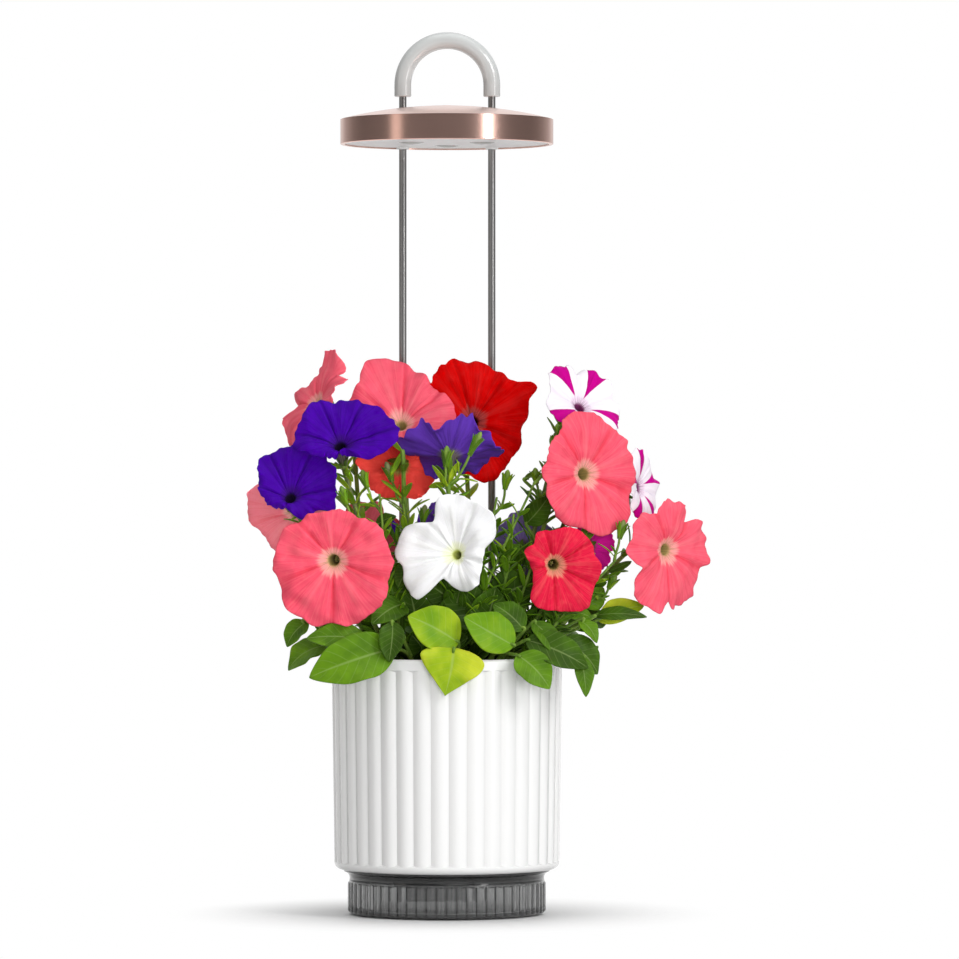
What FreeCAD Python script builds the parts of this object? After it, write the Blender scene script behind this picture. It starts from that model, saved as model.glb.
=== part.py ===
import FreeCAD, Part
import math
import os

# Hydroponic vase: a smoky water tank, a white ribbed pot that lifts off it, and a grow lamp that
# slides on two steel rods under a bent carrying handle.
# Millimetres. The origin is the centre of the foot pad's underside, +Z is up and -Y is the front.

# Foot pad and tank
pad_radius = 35.0
pad_height = 3.0
pad_clearance = 0.2
tank_lift = 1.0
tank_floor = 2.2
tank_inset = 8.1
tank_rib_count = 60
tank_rib_depth = 0.8
tank_rib_top = 20.4
tank_rib_round = 1.6
tank_corner = 2.4
tank_neck_wall = 2.2
tank_neck_drop = 4.0
collar_inset = 1.2
collar_lip = 0.9
seat_gap = 0.3
neck_clearance = 0.4

# Pot
pot_radius = 69.3
pot_taper = 1.8
pot_base_z = 27.3
pot_height = 127.1
pot_rib_count = 40
pot_rib_depth = 0.75
pot_rib_phase = 1.3
valley_softening = 0.08
pot_rim_band = 6.4
pot_base_band = 4.2
pot_corner = 4.5
pot_wall = 4.5
pot_lip = 3.0
rim_round = 1.4
rim_step_depth = 5.4
rim_step_width = 1.6
ledge_z = 80.0
ledge_height = 4.0
ledge_width = 8.5
deck_thickness = 3.0
deck_screw_angles = (20, 160, 225, 315)
deck_screw_shank = 1.4
fit_gap = 0.4
hole_play = 0.2
slip = 0.05

# Basket, medium and watering
basket_lift = 8.0
basket_wall = 1.8
basket_slot = 4.0
basket_slot_count = 22
floor_slot_pitch = 11.0
flange_thickness = 2.0
medium_top_drop = 8.4
riser_radius = 4.0
riser_bore = 2.75
riser_collar = 6.0
drip_cap_radius = 14.0
drip_cap_height = 6.0

# Dry box at the back
box_wall = 1.4
box_floor = 2.0
box_margin = 5.6
terminal_height = 12.0
terminal_screw = 1.4
terminal_inner = 5.5
terminal_wall = 0.95
board_side_gap = 3.55
board_head_room = 6.8
board_thickness = 1.6
lid_screw_x = 13.0
lid_screw_shank = 1.05
grommet_radius = 3.5
inlet_height = 25.0
inlet_radius = 3.9
inlet_rim = 5.6
inlet_nut = 6.4
inlet_bore = 2.75
inlet_pin = 1.05

# Pump
pump_floor_gap = 2.8
pump_length = 37.0
pump_width = 26.0
pump_height = 28.0
pump_wall = 1.5
chamber_radius = 11.0
chamber_length = 10.0
pump_cover_thickness = 2.5
strainer_depth = 9.0
well_radius = 6.4
shaft_radius = 1.0
magnet_radius = 6.1
vane_count = 6
lead_radius = 1.5
lead_x = -14.0

# Float switch
stem_x = 4.0
stem_radius = 2.5
stem_nut = 4.0
float_radius = 7.0
float_height = 16.0
float_travel = 36.0
clip_groove = 0.5
float_bore_clearance = 0.1
float_wall_gap = 1.0

# Rods, handle and lamp
rod_radius = 2.25
rod_spacing = 54.1
rod_inset = 6.15
rod_slip = 0.05
handle_tube_radius = 5.15
handle_leg_z = 493.4
handle_leg = 7.2
handle_grip_depth = 14.0
handle_screw = 1.2
lamp_hang = 31.7
lamp_height = 15.0
lamp_wall = 1.6
lamp_lip = 1.0
lamp_lip_thickness = 0.8
dome_rise = 8.1
dome_thickness = 1.2
bushing_radius = 4.0
bushing_clearance = 0.45
lens_radius = 7.75
lens_pitch = 24.4
lens_centre_y = 5.0
plate_thickness = 2.0
spreader_post = 3.5
spreader_screw = 1.2
driver_half_x = 20.0
driver_half_y = 12.0
spreader_thickness = 2.0
led_board_thickness = 1.6
chip_ring_inset = 21.726
button_radius = 4.5
button_clearance = 0.12
button_travel = 0.5
plunger_radius = 1.7
plunger_reach = 0.6

# Sizes that follow from those above
pot_base_radius = pot_radius - pot_taper
pot_top_z = pot_base_z + pot_height
tank_radius = pot_base_radius - tank_inset
collar_radius = pot_base_radius - pot_corner - collar_inset
collar_z = pot_base_z - seat_gap
neck_radius = tank_radius - neck_clearance
tank_bore = neck_radius - tank_neck_wall
pot_mouth_radius = neck_radius + neck_clearance
step_z = pot_top_z - rim_step_depth
deck_z = ledge_z + ledge_height
deck_top = deck_z + deck_thickness
tank_neck_top = ledge_z - tank_neck_drop
basket_floor_z = deck_top + basket_lift
inlet_z = deck_top + inlet_height
medium_top = pot_top_z - medium_top_drop
rod_x = rod_spacing / 2
rod_reach = pot_base_radius - pot_wall - rod_inset
lamp_inner = rod_reach + bushing_radius + bushing_clearance + lamp_lip
lamp_radius = lamp_inner + lamp_wall
lamp_bottom_z = handle_leg_z - lamp_hang
rod_y = math.sqrt(rod_reach ** 2 - rod_x ** 2)
stem_y = math.sqrt((tank_bore - float_radius - float_wall_gap) ** 2 - stem_x ** 2)
box_front = min(rod_y - box_margin, stem_y - stem_nut - hole_play) - box_wall
basket_back = box_front - 0.6
board_width = rod_spacing - 2 * (terminal_inner + board_side_gap)
board_low = deck_top + hole_play + box_floor + 5.0
board_height = step_z - board_low - board_head_room

X = FreeCAD.Vector(1, 0, 0)
Z = FreeCAD.Vector(0, 0, 1)
ORIGIN = FreeCAD.Vector(0, 0, 0)


def at(x, y, z):
    return FreeCAD.Vector(x, y, z)


def polar(radius, degrees, z=0.0):
    angle = math.radians(degrees)
    return at(radius * math.cos(angle), radius * math.sin(angle), z)


def save(node, solids):
    """Write one node; a list of solids becomes a group."""
    shape = solids
    if isinstance(solids, list):
        shape = Part.makeCompound(solids)
    for solid in shape.Solids:
        if not solid.isValid() or solid.Volume <= 0:
            print("check the solid", node, solid.isValid(), solid.Volume)
    shape.exportStep("parts/" + node + ".step")
    print(node, len(shape.Solids), round(shape.Volume / 1000, 2), "cm3")


def turned(points):
    """Solid of revolution about Z. A point is (r, z); (r, z, r_mid, z_mid) is reached by an arc."""
    edges = []
    here = at(points[0][0], 0, points[0][1])
    for point in points[1:] + [points[0][:2]]:
        there = at(point[0], 0, point[1])
        if len(point) == 4:
            edges.append(Part.Arc(here, at(point[2], 0, point[3]), there).toShape())
        elif here.distanceToPoint(there) > 1e-6:
            edges.append(Part.LineSegment(here, there).toShape())
        here = there
    return Part.Face(Part.Wire(edges)).revolve(ORIGIN, Z, 360)


def quarter(start_r, start_z, end_r, end_z, centre_r, centre_z):
    """The end point and mid point of a quarter-round about a centre, as turned() takes them."""
    radius = math.hypot(start_r - centre_r, start_z - centre_z)
    middle_r = (start_r + end_r) / 2 - centre_r
    middle_z = (start_z + end_z) / 2 - centre_z
    scale = radius / math.hypot(middle_r, middle_z)
    return (end_r, end_z, centre_r + middle_r * scale, centre_z + middle_z * scale)


def crown(edge_radius, edge_z, top_z):
    """The way turned() closes a round top: a spherical cap from its edge up to the axis."""
    rise = top_z - edge_z
    sphere = (edge_radius ** 2 + rise ** 2) / (2 * rise)
    half = edge_radius / 2
    return (0, top_z, half, top_z - sphere + math.sqrt(sphere ** 2 - half ** 2))


def rod(radius, start, end):
    direction = end - start
    return Part.makeCylinder(radius, direction.Length, start, direction)


def disc(radius, low, high, x=0.0, y=0.0):
    return Part.makeCylinder(radius, high - low, at(x, y, low))


def through(radius, x, y):
    """Tool for a vertical hole right through a piece."""
    return disc(radius, -10, 600, x, y)


def ring(outer, inner, low, high, x=0.0, y=0.0):
    return disc(outer, low, high, x, y).cut(disc(inner, low - 1, high + 1, x, y))


def block(x0, x1, y0, y1, z0, z1):
    return Part.makeBox(x1 - x0, y1 - y0, z1 - z0, at(x0, y0, z0))


def behind(limit):
    """Everything with y over limit, to cut a round shape to a D."""
    return block(-200, 200, limit, 200, -10, 600)


def in_front(limit):
    return block(-200, 200, -200, limit, -10, 600)


def lobed_wire(crest, depth, count, phase, z):
    """Closed outline of ribs: arcs that bulge to the crest and meet in valleys."""
    step = 360 / count
    edges = []
    for index in range(count):
        start = phase + index * step
        valley = polar(crest - depth, start, z)
        top = polar(crest, start + step / 2, z)
        next_valley = polar(crest - depth, start + step, z)
        edges.append(Part.Arc(valley, top, next_valley).toShape())
    return Part.Wire(edges)


def screw(head_radius, head_height, shank_radius, length, seat, direction):
    """Screw with its head's underside at seat and its shank along direction."""
    unit = FreeCAD.Vector(direction).normalize()
    head = Part.makeCylinder(head_radius, head_height, seat, unit * -1)
    shank = Part.makeCylinder(shank_radius, length, seat, unit)
    top = seat - unit * head_height
    slot = Part.makeCylinder(head_radius * 0.45, head_height * 0.5, top, unit)
    return head.fuse(shank).cut(slot)


# Water tank and foot pad


def foot_pad():
    bevel = 0.6
    return turned([
        (0, 0), (pad_radius - bevel, 0), (pad_radius, bevel), (pad_radius, pad_height), (0, pad_height)])


def water_tank():
    """Ribbed below, a flared collar for the pot to stand on, and a plain neck up inside the pot."""
    valley = tank_radius - tank_rib_depth
    ribs = Part.Face(lobed_wire(tank_radius, tank_rib_depth, tank_rib_count, 90, tank_lift))
    ribs = ribs.extrude(at(0, 0, tank_rib_top - tank_lift))
    low = tank_lift + tank_corner
    high = tank_rib_top - tank_rib_round
    shoulder = valley - tank_rib_depth / 2
    envelope = turned([
        (0, tank_lift), (tank_radius - tank_corner, tank_lift),
        quarter(tank_radius - tank_corner, tank_lift, tank_radius, low, tank_radius - tank_corner, low),
        (tank_radius, high), (shoulder, tank_rib_top), (0, tank_rib_top)])
    flare_top = collar_z - collar_lip
    flare_out = 0.8
    flare_up = 1.4
    root = high - 2.0
    neck = turned([
        (0, root), (valley, root), (valley, tank_rib_top),
        (collar_radius, flare_top, valley + flare_out, (tank_rib_top + flare_top) / 2 + flare_up),
        (collar_radius, collar_z), (neck_radius, collar_z), (neck_radius, tank_neck_top), (0, tank_neck_top)])
    raised = pad_height + tank_floor
    floor = tank_lift + tank_floor
    round_in = 2.0
    step = pad_radius + 2.0
    water = turned([
        (0, raised), (step, raised), (step + round_in, floor), (tank_bore - round_in, floor),
        quarter(tank_bore - round_in, floor, tank_bore, floor + round_in, tank_bore - round_in, floor + round_in),
        (tank_bore, tank_neck_top + 1), (0, tank_neck_top + 1)])
    recess = disc(pad_radius + pad_clearance, 0, pad_height)
    return ribs.common(envelope).fuse(neck).removeSplitter().cut(water).cut(recess)


# Pot, deck, basket and growing medium


def pot_radius_at(z):
    share = (z - pot_base_z) / pot_height
    return pot_base_radius + pot_taper * share


def outer_pot():
    """Tapered ribbed pot with plain bands at rim and base, an inner ledge and a step for the basket."""
    rib_low = pot_base_z + pot_base_band
    rib_high = pot_top_z - pot_rim_band
    ribs = Part.makeLoft([
        lobed_wire(pot_radius_at(rib_low), pot_rib_depth, pot_rib_count, 270 + pot_rib_phase, rib_low),
        lobed_wire(pot_radius_at(rib_high), pot_rib_depth, pot_rib_count, 270 + pot_rib_phase, rib_high),
    ], True, True)
    corner_r = pot_base_radius - pot_corner
    corner_z = pot_base_z + pot_corner
    rib_lead = 0.8
    lip_ease = 0.4
    rim_bevel = 1.2
    over = pot_top_z + 0.01
    valley_low = pot_radius_at(rib_low) - pot_rib_depth + valley_softening
    valley_high = pot_radius_at(rib_high) - pot_rib_depth + valley_softening
    core = turned([
        (0, pot_base_z), (corner_r, pot_base_z),
        quarter(corner_r, pot_base_z, pot_base_radius, corner_z, corner_r, corner_z),
        (valley_low, corner_z + rib_lead), (valley_high, rib_high - rib_lead), (pot_radius_at(rib_high), rib_high),
        (pot_radius, pot_top_z - rim_round),
        quarter(pot_radius, pot_top_z - rim_round, pot_radius - rim_round, pot_top_z,
                pot_radius - rim_round, pot_top_z - rim_round),
        (0, pot_top_z)])
    solid = core.fuse(ribs).removeSplitter()
    inner_low = pot_base_radius - pot_wall
    inner_high = pot_radius - pot_wall - pot_taper / 2
    lip_top = pot_base_z + pot_lip
    step_r = inner_high + rim_step_width
    hollow = turned([
        (0, pot_base_z - 1), (pot_mouth_radius, pot_base_z - 1), (pot_mouth_radius, lip_top),
        (inner_low - lip_ease, lip_top), (inner_low, ledge_z - 1), (inner_low - ledge_width, ledge_z),
        (inner_low - ledge_width, deck_z), (inner_low + hole_play, deck_z), (inner_high, step_z),
        (step_r, step_z), (step_r, pot_top_z - rim_bevel), (step_r + rim_bevel, over), (0, over)])
    solid = solid.cut(hollow)
    for place in deck_screw_places():
        solid = solid.cut(disc(deck_screw_shank + 0.1, ledge_z + 0.4, deck_z + 1, place.x, place.y))
    inlet_hole = rod(inlet_radius + 0.1, at(0, inner_low - 10, inlet_z), at(0, pot_radius + 5, inlet_z))
    flat = inlet_rim + 1.9
    inlet_flat = block(-flat, flat, inlet_face(), pot_radius + 5, inlet_z - flat, inlet_z + flat)
    return solid.cut(inlet_hole).cut(inlet_flat)


def inlet_face():
    """The small flat on the pot's back that the inlet's rim seats on."""
    flat_depth = 0.8
    return pot_radius_at(inlet_z) - pot_rib_depth - flat_depth


def pot_inner_radius(z):
    """Radius of the pot's inner wall above the ledge."""
    low = pot_base_radius - pot_wall + hole_play
    high = pot_radius - pot_wall - pot_taper / 2
    return low + (high - low) * (z - deck_z) / (step_z - deck_z)


def deck_screw_places():
    radius = pot_base_radius - pot_wall - ledge_width / 2
    return [polar(radius, degrees, deck_z) for degrees in deck_screw_angles]


def inner_deck():
    """Plate over the water: two rings of drain holes, and holes for riser, lead, float stem and screws."""
    deck = disc(pot_inner_radius(deck_z) - fit_gap, deck_z, deck_top)
    holes = [through(riser_radius + hole_play, 0, 0), through(stem_radius + slip, stem_x, stem_y)]
    lead = lead_route()[-1]
    holes.append(through(lead_radius + hole_play, lead.x, lead.y))
    drain_outer = 2.5
    drain_inner = 2.0
    for degrees in range(15, 375, 30):
        place = polar(tank_bore * 0.6, degrees)
        if place.y < box_front - drain_outer * 2:
            holes.append(through(drain_outer, place.x, place.y))
            inner = place * 0.55
            holes.append(through(drain_inner, inner.x, inner.y))
    for place in deck_screw_places():
        holes.append(through(deck_screw_shank + 0.3, place.x, place.y))
    for hole in holes:
        deck = deck.cut(hole)
    return deck


def deck_screws():
    length = deck_thickness + ledge_height - 0.8
    head = deck_screw_shank * 2
    return [screw(head, 1.6, deck_screw_shank, length, at(place.x, place.y, deck_top), Z * -1)
            for place in deck_screw_places()]


def basket_radius():
    return pot_inner_radius(deck_z) - 1.0


def net_basket():
    """D-shaped basket with slotted wall and floor, hung by its flange on the pot's step."""
    outer = basket_radius()
    flange = pot_inner_radius(step_z) + rim_step_width - fit_gap
    body = disc(outer, basket_floor_z, step_z + flange_thickness).fuse(
        disc(flange, step_z, step_z + flange_thickness)).common(in_front(basket_back))
    hollow = disc(outer - basket_wall, basket_floor_z + basket_wall, pot_top_z)
    body = body.cut(hollow.common(in_front(basket_back - basket_wall)))
    slot_low = basket_floor_z + 6.0
    slot_high = step_z - 9.0
    edge_margin = 8.0
    half_slot = basket_slot / 2
    for index in range(basket_slot_count):
        degrees = index * 360 / basket_slot_count
        if polar(outer, degrees).y < basket_back - edge_margin:
            slot = block(outer - 5, outer + 5, -half_slot, half_slot, slot_low, slot_high)
            slot.rotate(ORIGIN, Z, degrees)
            body = body.cut(slot)
    floor_reach = outer - basket_wall - edge_margin
    floor_low = basket_floor_z - 1
    floor_high = basket_floor_z + basket_wall + 1
    side_count = int((floor_reach - half_slot) / floor_slot_pitch)
    for index in range(-side_count, side_count + 1):
        x = index * floor_slot_pitch
        front = -math.sqrt(floor_reach ** 2 - x ** 2)
        back = min(-front, basket_back - edge_margin)
        if index == 0:
            back = -riser_radius * 3
        body = body.cut(block(x - half_slot, x + half_slot, front, back, floor_low, floor_high))
    return body.cut(through(riser_radius + seat_gap, 0, 0))


def growing_medium():
    """The bed of clay pebbles as one plain body, with a bore for the riser."""
    outer = basket_radius() - basket_wall - seat_gap
    bed = disc(outer, basket_floor_z + basket_wall + hole_play, medium_top)
    bed = bed.common(in_front(basket_back - basket_wall - seat_gap))
    return bed.cut(through(riser_radius + seat_gap, 0, 0))


def riser_tube():
    """Tube from the pump up to the drip cap, hung on the deck by a small collar."""
    plug_depth = 6.0
    low = spigot_top() - plug_depth
    high = medium_top + 1.5
    collar = disc(riser_collar, deck_top + slip, deck_top + slip + 1.2)
    return disc(riser_radius, low, high).fuse(collar).cut(disc(riser_bore, low - 1, high + 1))


def drip_cap():
    """Mushroom cap that spreads the water over the pebbles through six side holes."""
    bottom = medium_top + seat_gap
    top = medium_top + drip_cap_height
    bore = riser_radius + slip
    sleeve = bore + 1.6
    edge = 1.0
    crown_rise = 2.4
    roof = 2.0
    cap = turned([
        (bore, bottom), (sleeve, bottom), (sleeve, top - 2.6), (drip_cap_radius, top - crown_rise - edge),
        (drip_cap_radius, top - crown_rise), crown(drip_cap_radius, top - crown_rise, top),
        (0, top - roof), (bore, top - roof)])
    drip_hole = 0.8
    for degrees in range(30, 390, 60):
        hole = Part.makeCylinder(drip_hole, drip_cap_radius, at(0, 0, bottom + 2.1), polar(1, degrees))
        cap = cap.cut(hole)
    return cap


# Pump, along X under the riser


def pump_bottom():
    return pad_height + tank_floor + pump_floor_gap


def pump_axis_z():
    return pump_bottom() + pump_height / 2


def spigot_top():
    spigot = 8.0
    return pump_bottom() + pump_height + spigot


def along_x(radius, x0, x1, z):
    return rod(radius, at(x0, 0, z), at(x1, 0, z))


def pump_housing():
    """Moulded body: impeller chamber at +X, rotor well in the middle, stator pocket open at -X."""
    z = pump_axis_z()
    half = pump_width / 2
    front = chamber_length / 2
    back = front - pump_length
    top = pump_bottom() + pump_height
    body = block(back, front, -half, half, pump_bottom(), top)
    body = body.makeFillet(2.0, [edge for edge in body.Edges if abs(edge.tangentAt(0).x) > 0.9])
    well_wall = 1.2
    spigot_bore = 1.7
    body = body.fuse(disc(riser_bore - slip, top - 1, spigot_top()))
    wall_back = -front - pump_wall
    pocket = block(back - 1, wall_back - pump_wall, -half + pump_wall, half - pump_wall,
                   pump_bottom() + pump_wall, top - pump_wall)
    body = body.cut(pocket)
    well = along_x(well_radius + well_wall, well_back(), wall_back, z)
    body = body.fuse(well)
    body = body.cut(along_x(chamber_radius, -front, front + 1, z))
    body = body.cut(along_x(well_radius, well_back() + well_wall, front, z))
    body = body.cut(along_x(shaft_radius + slip, well_back() + 0.4, front, z))
    return body.cut(disc(spigot_bore, z + chamber_radius - 4, spigot_top() + 1))


def well_back():
    """Closed end of the rotor well, inside the back cover."""
    cover_space = 4.5
    return chamber_length / 2 - pump_length + cover_space


def pump_back_cover():
    back = chamber_length / 2 - pump_length
    half = pump_width / 2 - pump_wall - slip
    low = pump_bottom() + pump_wall + slip
    high = pump_bottom() + pump_height - pump_wall - slip
    return block(back, back + 2.0, -half, half, low, high)


def stator_core():
    """Laminated U core around the rotor well."""
    z = pump_axis_z()
    x0 = well_back() + 2.0
    x1 = -chamber_length / 2 - 2 * pump_wall - 2.0
    half = pump_width / 2 - pump_wall - 1.0
    below = pump_height / 2 - pump_wall - 1.0
    above = below - 2.0
    core = block(x0, x1, -half, half, z - below, z + above)
    core = core.cut(along_x(coil_bore(), x0 - 1, x1 + 1, z))
    pole_gap = 1.2
    return core.cut(block(x0 - 1, x1 + 1, -pole_gap, pole_gap, z, z + pump_height))


def coil_bore():
    return well_radius + 1.4


def stator_coil():
    """Winding on the front part of the well, beside the core."""
    z = pump_axis_z()
    x1 = -chamber_length / 2 - 2 * pump_wall - hole_play
    x0 = x1 - 1.6
    coil_radius = pump_width / 2 - pump_wall - 1.0
    return along_x(coil_radius, x0, x1, z).cut(along_x(coil_bore(), x0 - 1, x1 + 1, z))


def rotor_magnet():
    z = pump_axis_z()
    x0 = well_back() + 2.0
    x1 = -chamber_length / 2 + 0.6
    return along_x(magnet_radius, x0, x1, z).cut(along_x(shaft_radius + slip, x0 - 1, x1 + 1, z))


def impeller():
    """Back plate, hub and radial vanes."""
    z = pump_axis_z()
    radius = chamber_radius - 1.4
    hub = 3.2
    hub_length = 7.2
    vane_length = 6.0
    half_vane = 0.5
    x0 = -chamber_length / 2 + 0.8
    plate = along_x(radius, x0, x0 + 1.2, z)
    wheel = plate.fuse(along_x(hub, x0, x0 + hub_length, z))
    for index in range(vane_count):
        vane = block(x0, x0 + vane_length, -half_vane, half_vane, z, z + radius)
        vane.rotate(at(0, 0, z), X, index * 360 / vane_count)
        wheel = wheel.fuse(vane)
    wheel = wheel.common(along_x(radius, x0 - 1, x0 + chamber_length, z))
    return wheel.cut(along_x(shaft_radius + slip, x0 - 1, x0 + chamber_length, z))


def rotor_shaft():
    return along_x(shaft_radius, well_back() + 0.5, chamber_length / 2 + 1.4, pump_axis_z())


def pump_cover():
    """Front plate with the intake eye and a spider that carries the shaft's end."""
    z = pump_axis_z()
    front = chamber_length / 2
    half = pump_width / 2 - hole_play
    outer = front + pump_cover_thickness
    eye_radius = 5.0
    hub = 2.0
    half_bar = 0.7
    cover = block(front, outer, -half, half, pump_bottom() + hole_play, pump_bottom() + pump_height - hole_play)
    eye = along_x(eye_radius, front - 1, outer + 1, z)
    spider = along_x(hub, front, outer, z)
    spider = spider.fuse(block(front, outer, -eye_radius - 0.5, eye_radius + 0.5, z - half_bar, z + half_bar))
    cover = cover.cut(eye).fuse(spider)
    return cover.cut(along_x(shaft_radius + slip, front - 1, front + 1.5, z))


def pump_strainer():
    """Slotted cap over the intake."""
    z = pump_axis_z()
    x0 = chamber_length / 2 + pump_cover_thickness + hole_play
    x1 = x0 + strainer_depth
    wall = 1.5
    half_y = pump_width / 2 - 1.0
    low = pump_bottom() + 1.0
    high = pump_bottom() + pump_height - 1.0
    cap = block(x0, x1, -half_y, half_y, low, high)
    cap = cap.cut(block(x0 - 1, x1 - wall, -half_y + wall, half_y - wall, low + wall, high - wall))
    pitch = pump_width / 8
    half_slot = 0.8
    half_height = pump_height / 2 - 5.0
    for index in range(-3, 4):
        y = index * pitch
        cap = cap.cut(block(x1 - 2 * wall, x1 + 1, y - half_slot, y + half_slot, z - half_height, z + half_height))
    return cap


def lead_route():
    """Corner points of the pump's lead, from the pump's top up to the dry box."""
    start_x = chamber_length / 2 - pump_length + 8.0
    top = pump_bottom() + pump_height
    rise = 16.0
    lead_y = box_front + box_wall + box_margin
    return [at(start_x, 0, top), at(start_x, 0, top + rise), at(lead_x, lead_y, ledge_z - 10),
            at(lead_x, lead_y, deck_top + 1.5)]


def bent_tube(points, radius, share=0.42):
    """Round tube along straight runs joined by tangent arcs."""
    edges = []
    here = points[0]
    for index in range(1, len(points) - 1):
        corner = points[index]
        back = points[index - 1] - corner
        ahead = points[index + 1] - corner
        turn = math.pi - back.getAngle(ahead)
        reach = share * min(back.Length, ahead.Length)
        bend = reach / math.tan(turn / 2)
        start = corner + FreeCAD.Vector(back).normalize() * reach
        end = corner + FreeCAD.Vector(ahead).normalize() * reach
        middle_way = (FreeCAD.Vector(back).normalize() + FreeCAD.Vector(ahead).normalize()).normalize()
        depth = math.hypot(reach, bend) - bend
        edges.append(Part.LineSegment(here, start).toShape())
        edges.append(Part.Arc(start, corner + middle_way * depth, end).toShape())
        here = end
    edges.append(Part.LineSegment(here, points[-1]).toShape())
    path = Part.Wire(edges)
    section = Part.Wire([Part.makeCircle(radius, points[0], points[1] - points[0])])
    return path.makePipeShell([section], True, False)


def pump_lead():
    return bent_tube(lead_route(), lead_radius)


# Float switch


def float_bottom():
    return pump_bottom() + 1.0


def float_stem():
    low = float_bottom() - 2.0
    stem = disc(stem_radius, low, box_floor_top() + 4.5, stem_x, stem_y)
    flange = disc(stem_radius + 1.5, deck_z - 2.5, deck_z, stem_x, stem_y)
    stop_z = float_bottom() + float_height + float_travel + seat_gap
    stop = disc(stem_radius + 0.9, stop_z, stop_z + 1.5, stem_x, stem_y)
    groove = ring(stem_radius + 1, stem_radius - clip_groove, low + 0.5, low + 1.7, stem_x, stem_y)
    return stem.fuse([flange, stop]).cut(groove)


def float_clip():
    """Retaining ring in the stem's groove, under the float."""
    low = float_bottom() - 1.45
    high = low + 1.1
    clip = ring(stem_radius + 1.7, stem_radius - clip_groove + slip, low, high, stem_x, stem_y)
    half_gap = 0.8
    return clip.cut(block(stem_x, stem_x + 6, stem_y - half_gap, stem_y + half_gap, low - 1, high + 1))


def level_float():
    low = float_bottom()
    soft = 1.0
    bore = stem_radius + float_bore_clearance
    body = turned([
        (bore, low), (float_radius - soft, low),
        quarter(float_radius - soft, low, float_radius, low + soft, float_radius - soft, low + soft),
        (float_radius, low + float_height - soft),
        quarter(float_radius, low + float_height - soft, float_radius - soft, low + float_height,
                float_radius - soft, low + float_height - soft),
        (bore, low + float_height)])
    body.translate(at(stem_x, stem_y, 0))
    return body


def float_nut():
    low = box_floor_top()
    height = 3.0
    corners = [at(stem_x, stem_y, low) + polar(stem_nut, degrees) for degrees in range(0, 420, 60)]
    nut = Part.Face(Part.makePolygon(corners)).extrude(at(0, 0, height))
    return nut.cut(through(stem_radius + slip, stem_x, stem_y))


# Dry box at the back, behind the basket


def box_floor_top():
    return deck_top + hole_play + box_floor


def box_inner_radius():
    return pot_inner_radius(deck_z) - fit_gap - box_wall


def service_box():
    """Open-topped box that fills the space between the basket and the pot's back wall."""
    inner = box_inner_radius()
    outer = inner + box_wall
    shell = disc(outer, deck_top + hole_play, step_z).common(behind(box_front))
    shell = shell.cut(disc(inner, box_floor_top(), pot_top_z).common(behind(box_front + box_wall)))
    lead = lead_route()[-1]
    shell = shell.cut(through(lead_radius + slip, lead.x, lead.y))
    shell = shell.cut(through(stem_radius + slip, stem_x, stem_y))
    shell = shell.cut(rod(inlet_radius + 0.1, at(0, inner - 3, inlet_z), at(0, outer + 3, inlet_z)))
    rail = 1.5
    boss_radius = 3.0
    root = box_floor_top() - 0.5
    for side in (-1, 1):
        x = side * (board_width / 2 - 2)
        back = board_y() + board_thickness
        support = block(x - rail, x + rail, board_y() - rail, back + rail, root, board_low + 2)
        groove = block(x - 2 * rail, x + 2 * rail, board_y() - slip, back + slip, board_low, pot_top_z)
        shell = shell.fuse(support.cut(groove))
        boss = disc(boss_radius, root, step_z, side * lid_screw_x, lid_screw_y())
        boss = boss.cut(disc(lid_screw_shank + slip, step_z - 8, step_z + 1, side * lid_screw_x, lid_screw_y()))
        shell = shell.fuse(boss)
    return shell.removeSplitter()


def board_y():
    return box_front + box_wall + 2.2


def lid_screw_y():
    return math.sqrt((box_inner_radius() - 2.4) ** 2 - lid_screw_x ** 2)


def service_lid():
    edge = pot_inner_radius(step_z) + rim_step_width - fit_gap
    lid = disc(edge, step_z, step_z + flange_thickness).common(behind(box_front))
    rib_front = box_front + box_wall + fit_gap
    half_rib = board_width / 3
    lid = lid.fuse(block(-half_rib, half_rib, rib_front, rib_front + 1.2, step_z - 2, step_z))
    for side in (-1, 1):
        lid = lid.cut(through(grommet_radius + 0.1, side * rod_x, rod_y))
        lid = lid.cut(through(lid_screw_shank + 0.35, side * lid_screw_x, lid_screw_y()))
    return lid


def lid_screws():
    top = step_z + flange_thickness
    return [screw(2.4, 1.4, lid_screw_shank, 8.0, at(side * lid_screw_x, lid_screw_y(), top), Z * -1)
            for side in (-1, 1)]


def rod_grommets():
    """Soft collars that seal the rods where they pass the lid."""
    low = step_z - 1.5
    top = step_z + flange_thickness
    bore = rod_radius + rod_slip
    flange = grommet_radius + 1.1
    groups = []
    for side in (-1, 1):
        collar = turned([
            (bore, low), (grommet_radius, low), (grommet_radius, top), (flange, top), (flange, top + 0.8),
            (grommet_radius - 0.1, top + 2.4), (bore, top + 2.4)])
        collar.translate(at(side * rod_x, rod_y, 0))
        groups.append(collar)
    return groups


def rod_terminals():
    """Brass blocks that grip the rods' lower ends."""
    low = box_floor_top()
    high = low + terminal_height
    outward = rod_radius + terminal_wall
    groups = []
    for side in (-1, 1):
        x0, x1 = sorted((side * (rod_x - terminal_inner), side * (rod_x + outward)))
        body = block(x0, x1, box_front + box_wall + 0.6, rod_y + outward, low, high)
        body = body.common(disc(box_inner_radius() - slip, low, high))
        body = body.cut(disc(rod_radius + rod_slip, low + 1.5, high + 1, side * rod_x, rod_y))
        z = terminal_screw_z()
        body = body.cut(rod(terminal_screw + 0.1, at(side * rod_x, rod_y, z), at(side * (rod_x - 8), rod_y, z)))
        groups.append(body)
    return groups


def terminal_screw_z():
    return box_floor_top() + terminal_height / 2 + 1


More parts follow.
